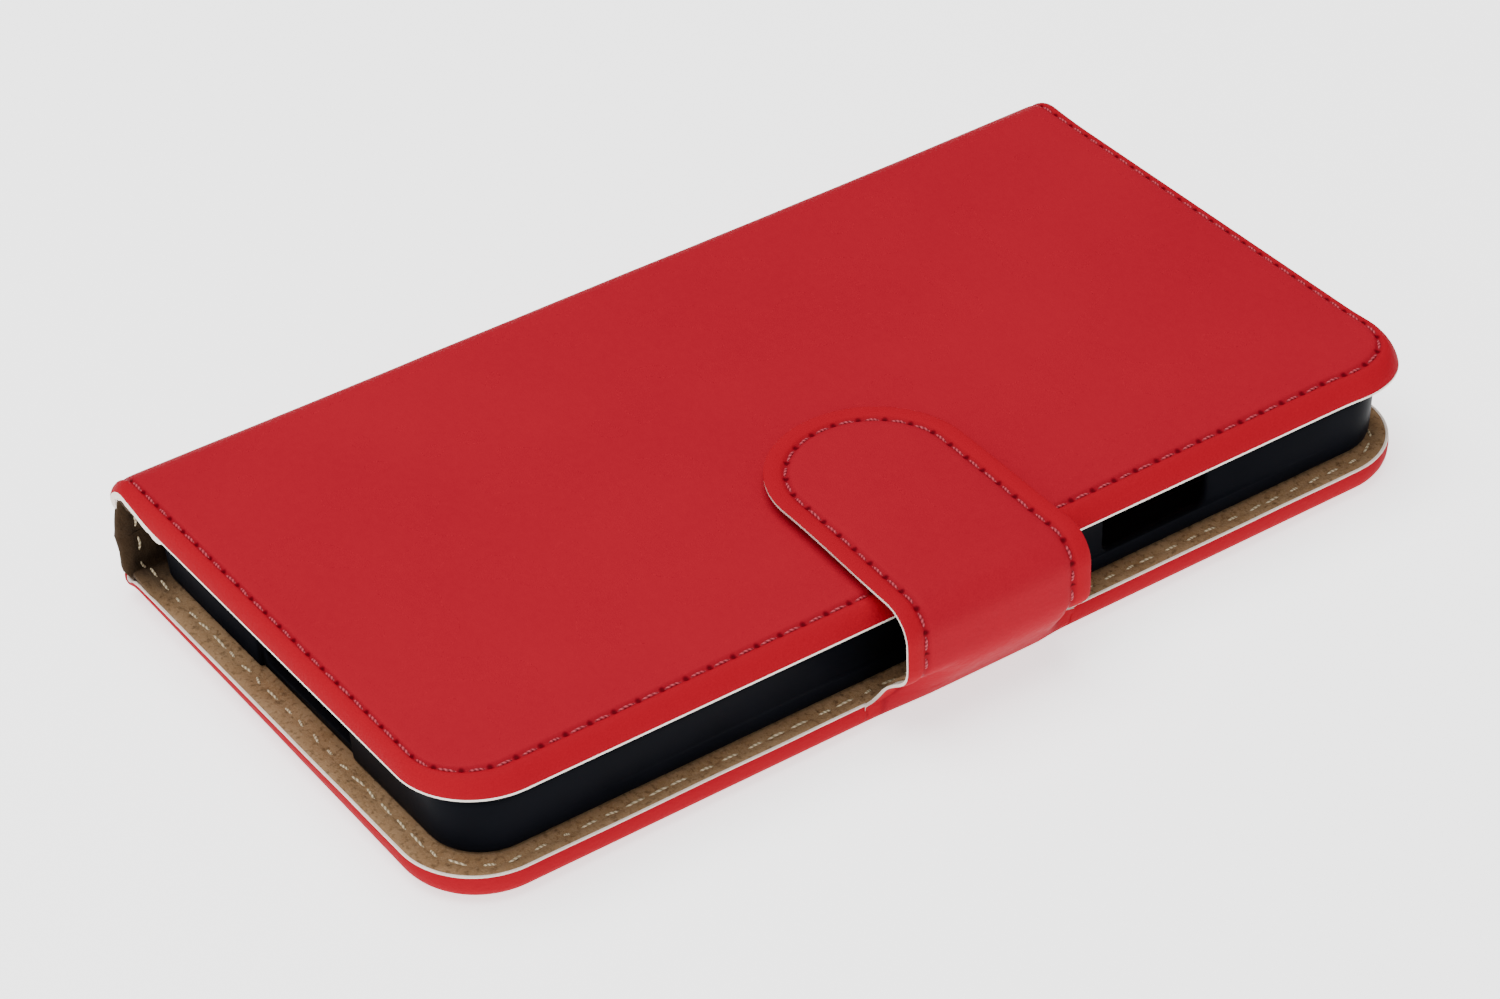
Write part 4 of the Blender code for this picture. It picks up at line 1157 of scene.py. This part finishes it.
def make_materials():
    return {
        "leather": leather_material("red_leather_smooth", RED, RED_DEEP, RED_PAINTED_HIGHLIGHT),
        "leather_plain": leather_material("red_leather_plain", RED, RED_DEEP, RED_PAINTED_HIGHLIGHT, False),
        "cut_edge": fuzzy_material("cream_cut_edge", CREAM, (0.62, 0.48, 0.40), 0.08),
        "backing": fuzzy_material("cream_backing", (0.70, 0.60, 0.53), (0.52, 0.43, 0.37), 0.12),
        "suede": suede_material(),
        "red_thread": thread_material("red_thread_twist", (0.25, 0.008, 0.020), (0.46, 0.050, 0.075)),
        "cream_thread": thread_material("cream_thread_twist", (0.58, 0.43, 0.24), (0.88, 0.75, 0.52)),
        "plastic": plastic_material(),
        "board": grain_material("grey_board_fibre", (0.30, 0.28, 0.25), (0.6, 5.0, 0.7),
                                ((0.22, 0.20, 0.18), (0.38, 0.36, 0.32)), 0.9, depth=0.05),
        "film": grain_material("adhesive_film", (0.75, 0.74, 0.70), (4.0,),
                               ((0.70, 0.69, 0.64), (0.80, 0.79, 0.76)), 0.3, (0.2, 0.45)),
        "nickel": metal_material("magnet_nickel_plate", (0.62, 0.62, 0.64), 0.3),
        "steel": metal_material("keeper_sheet_steel", (0.55, 0.56, 0.58), 0.38),
    }


def dress_frame_nodes(mats):
    """Materials of the CAD pieces that stay as they are."""
    looks = {
        "stiffener_board_back": "board", "stiffener_board_front": "board",
        "strap_stiffener_tab": "board", "cradle_adhesive_sheet": "film",
        "clasp_magnet": "nickel", "clasp_keeper_plate": "steel",
    }
    for node, look in looks.items():
        for slot in frame["nodes"][node].material_slots:
            slot.material = mats[look]


# --- Putting the case together ---
FRONT_SEAM_HEIGHT = -0.17
TAB_SEAM_HEIGHT = -0.08
LINING_TUCK = 1.4  # how far below the rim's edge the strap's lining starts
WINDOW_STITCH_RISE = 0.14  # how far the window's stitches lie above the outer face
CUTTER_IN = 0.4  # how much narrower the rim's cut is than the strap's root
INNER_STITCH = {"width": 0.36, "height": 0.28, "wander": 0.8}


def bend(parent, child, start, end):
    """A fold between two bodies, from one point to another in X and Z."""
    places = [(x * MM, 0.0, z * MM) for x, z in (start, end)]
    return parent, child, places[0], places[1]


LOWER_FOLD = bend("back_cover", "spine", (X_FOLD + 1.0, 0.0), (X_SPINE, 5.0))
UPPER_FOLD = bend("spine", "front_cover", (X_SPINE, FRONT_TOP - 5.0), (X_FOLD + 1.0, FRONT_TOP))
ROOT_FOLD = bend("back_cover", "strap_side", (X_EDGE - 1.0, 0.5), (X_STRAP - 2.2, 6.0))
TAB_FOLD = bend("strap_side", "strap_tab", (X_STRAP, TAB_TOP - STRAP_TOP_RADIUS - 1.0),
                (X_STRAP - STRAP_TOP_RADIUS - 1.0, TAB_TOP))


def join_in(item, slot, fold, nodes=()):
    """Bakes a piece's transform and hides the CAD nodes that it stands for; its slot is not used."""
    if nodes:
        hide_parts(*nodes)
    parent, child, start, end = fold
    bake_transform(item)
    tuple(start)
    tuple(end)


def seam_run(panel, height):
    return panel.seam_point(height), panel.seam_path.length, panel.stitches


def make_covers(mats):
    skins = leather_skins(mats, "leather")
    linings = lining_panel(1, HALF_FRONT), lining_panel(-1, HALF_BACK)
    front = FRONT_PANEL.build("leather_front", section(FRONT_RIM, FRONT_CUT, FRONT_BACKING), skins)
    back = BACK_PANEL.build("leather_back", section(back_rim(), BACK_CUT, BACK_BACKING), skins)
    lining_front = make_lining("lining_front_sheet", linings[0], mats["suede"])
    lining_back = make_lining("lining_back_sheet", linings[1], mats["suede"])
    cut_openings(back, lining_back, mats)
    pieces = (
        (front, HALF_FRONT, "red_leather", UPPER_FOLD, "outer_leather_front", "outer_leather_spine"),
        (back, HALF_BACK, "red_leather", LOWER_FOLD, "outer_leather_back"),
        (lining_front, HALF_FRONT, "brown_suede", UPPER_FOLD, "lining_front", "lining_spine"),
        (lining_back, HALF_BACK, "brown_suede", LOWER_FOLD, "lining_back"),
    )
    for item, length, slot, fold, *nodes in pieces:
        join_in(item, slot, fold, nodes)
    make_cover_seams(mats, *linings)


def cut_openings(back, lining_back, mats):
    """Cuts the camera window, and the rim away where the strap's root takes its place."""
    window = window_cutter(mats["cut_edge"])
    half = STRAP_HALF + STRAP_FLARE - CUTTER_IN
    near, far = X_EDGE - BACK_ROLL, X_EDGE + CUT_PAST
    low, high = STRAP_SIDE - half, STRAP_SIDE + half
    strap_gap = make_prism("strap_cutter", [(near, low), (far, low), (far, high), (near, high)],
                           -CUT_PAST, BACK_FACE + CUT_PAST, mats["leather"], along_z)
    subtract(back, [window, strap_gap])
    subtract(lining_back, [window])
    discard([window, strap_gap])


def make_cover_seams(mats, front_lining, back_lining):
    seams = (
        ("front_outside", FRONT_PANEL, FRONT_SEAM_HEIGHT, "red_thread", UPPER_FOLD, {}),
        ("back_outside", BACK_PANEL, 0.0, "red_thread", LOWER_FOLD, {"height": 0.3}),
        ("front_inside", front_lining, 0.0, "cream_thread", UPPER_FOLD, INNER_STITCH,
         "seam_thread_front", "seam_thread_spine_1", "seam_thread_spine_2"),
        ("back_inside", back_lining, 0.0, "cream_thread", LOWER_FOLD, INNER_STITCH,
         "seam_thread_back"),
    )
    for name, panel, height, thread, fold, sizes, *nodes in seams:
        item = make_stitches("stitches_" + name, [seam_run(panel, height)], mats[thread], **sizes)
        join_in(item, thread, fold, nodes)
    outline = window_outline(WINDOW_SEAM)
    ring = Path(outline + outline[:1])

    def window_point(distance, rise):
        return Vector((*ring.at(distance), WINDOW_STITCH_RISE - rise))

    run = window_point, ring.length, round(ring.length / STITCH_PITCH)
    seam = make_stitches("stitches_camera_window", [run], mats["red_thread"], height=0.3)
    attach(seam, "back_cover")


def make_strap(mats):
    skins = leather_skins(mats, "leather")
    suede, red = mats["suede"], mats["red_thread"]
    panel = tongue_panel(False)
    root = make_strap_root("strap_leather_root", False, 0.0, skins)
    root_lining = make_strap_root("strap_lining_root", True, RIM_LENGTH - LINING_TUCK, [suede])
    tongue = make_tongue("strap_leather_tongue", panel, skins)
    tongue_lining = make_tongue_lining("strap_lining_tongue", tongue_panel(True), suede)
    pieces = (
        (root, "strap_leather_side", "red_leather", ROOT_FOLD, STRAP_SPLIT),
        (root_lining, "strap_lining_side", "brown_suede", ROOT_FOLD, STRAP_SPLIT - RIM_LENGTH),
        (tongue, "strap_leather_tab", "red_leather", TAB_FOLD, STRAP_TIP - STRAP_SPLIT),
        (tongue_lining, "strap_lining_tab", "brown_suede", TAB_FOLD, STRAP_TIP - STRAP_SPLIT),
    )
    for item, node, slot, fold, length in pieces:
        join_in(item, slot, fold, [node])
    seam = make_stitches("stitches_strap", [seam_run(panel, TAB_SEAM_HEIGHT)], red)
    join_in(seam, "red_thread", TAB_FOLD, ["strap_thread_tab"])
    side_seam = make_stitches("stitches_strap_side", strap_side_runs(), red, width=0.44, height=0.3)
    join_in(side_seam, "red_thread", ROOT_FOLD)


def strap_side_runs():
    """Stitches down both edges of the strap's side, from the tongue's seam to the root."""
    start = RIM_LENGTH + STRAP_FLARE
    length = STRAP_SPLIT - start
    runs = []
    for side in (-1, 1):
        def point(distance, rise, side=side):
            y = side * (STRAP_HALF - TAB_SEAM)
            along = start + distance
            relief = strap_relief(along, y, TAB_SEAM, TAB_SEAM_HEIGHT)
            return Vector(strap_point(along, y, relief + rise))
        runs.append((point, length, round(length / STITCH_PITCH)))
    return runs


# --- Stage ---
CAMERA_TURN = math.radians(56.17)
CAMERA_RISE = math.radians(37.07)
CAMERA_ROLL = math.radians(-2.21)
CAMERA_DISTANCE = 0.58252
CAMERA_TARGET = Vector((-0.00315, 0.0, 0.0))
CAMERA_LENS = 107.5
CAMERA_NEAR = 0.01
CAMERA_SHIFT = (-0.0185, 0.0177)


def make_camera():
    data = bpy.data.cameras.new("camera")
    data.lens = CAMERA_LENS
    data.shift_x, data.shift_y = CAMERA_SHIFT
    data.clip_start = CAMERA_NEAR
    camera = add_object("camera", data)
    turns = ((CAMERA_TURN, "Z"), (math.pi / 2 - CAMERA_RISE, "X"), (CAMERA_ROLL, "Z"))
    place = Matrix.Translation(CAMERA_TARGET)
    for angle, axis in turns:
        place = place @ Matrix.Rotation(angle, 4, axis)
    camera.matrix_world = place @ Matrix.Translation((0.0, 0.0, CAMERA_DISTANCE))
    bpy.context.scene.camera = camera


WHITE = (1.0, 1.0, 1.0, 1.0)
FLOOR_HALF = 3.0
FLOOR_LEVEL = -0.0002  # just under the case, so that the two don't share a face
FLOOR_GLOW = 1.6


def make_floor():
    shader = Shader("studio_floor", (0.95, 0.95, 0.95), 0.7)
    shader.set(Emission_Color=WHITE, Emission_Strength=FLOOR_GLOW)
    mesh = bpy.data.meshes.new("studio_floor")
    turns = ((-1, -1), (1, -1), (1, 1), (-1, 1))
    mesh.from_pydata([(x * FLOOR_HALF, y * FLOOR_HALF, 0.0) for x, y in turns], [], [(0, 1, 2, 3)])
    mesh.materials.append(shader.material)
    floor = add_object("studio_floor", mesh)
    floor.location.z = FLOOR_LEVEL


def add_light(name, place, target, size, power):
    data = bpy.data.lights.new(name, "AREA")
    data.shape = "DISK"
    data.size = size
    data.energy = power
    light = add_object(name, data)
    light.location = place
    light.rotation_euler = (Vector(target) - Vector(place)).to_track_quat("-Z", "Y").to_euler()


LIGHTS = (
    ("top_softbox", (-0.1, -0.15, 1.0), 1.1, 18.0),
    ("front_softbox", (0.35, -0.75, 0.5), 0.7, 2.2),
    ("side_softbox", (0.8, 0.1, 0.45), 0.7, 0.9),
)
LIGHT_TARGET = (0.0, 0.0, 0.01)
WORLD_STRENGTH = 0.33


def make_lights():
    for name, place, size, power in LIGHTS:
        add_light(name, place, LIGHT_TARGET, size, power)
    world = bpy.data.worlds.new("studio")
    world.use_nodes = True
    background = world.node_tree.nodes["Background"].inputs
    background["Color"].default_value = WHITE
    background["Strength"].default_value = WORLD_STRENGTH
    bpy.context.scene.world = world


def main():
    make_camera()
    make_lights()
    make_floor()
    mats = make_materials()
    dress_frame_nodes(mats)
    make_covers(mats)
    make_strap(mats)
    make_cradle(mats["plastic"])
    for node in ("cash_pocket_panel", "card_pocket_1", "card_pocket_2", "card_pocket_3"):
        make_pocket(node, mats)


main()
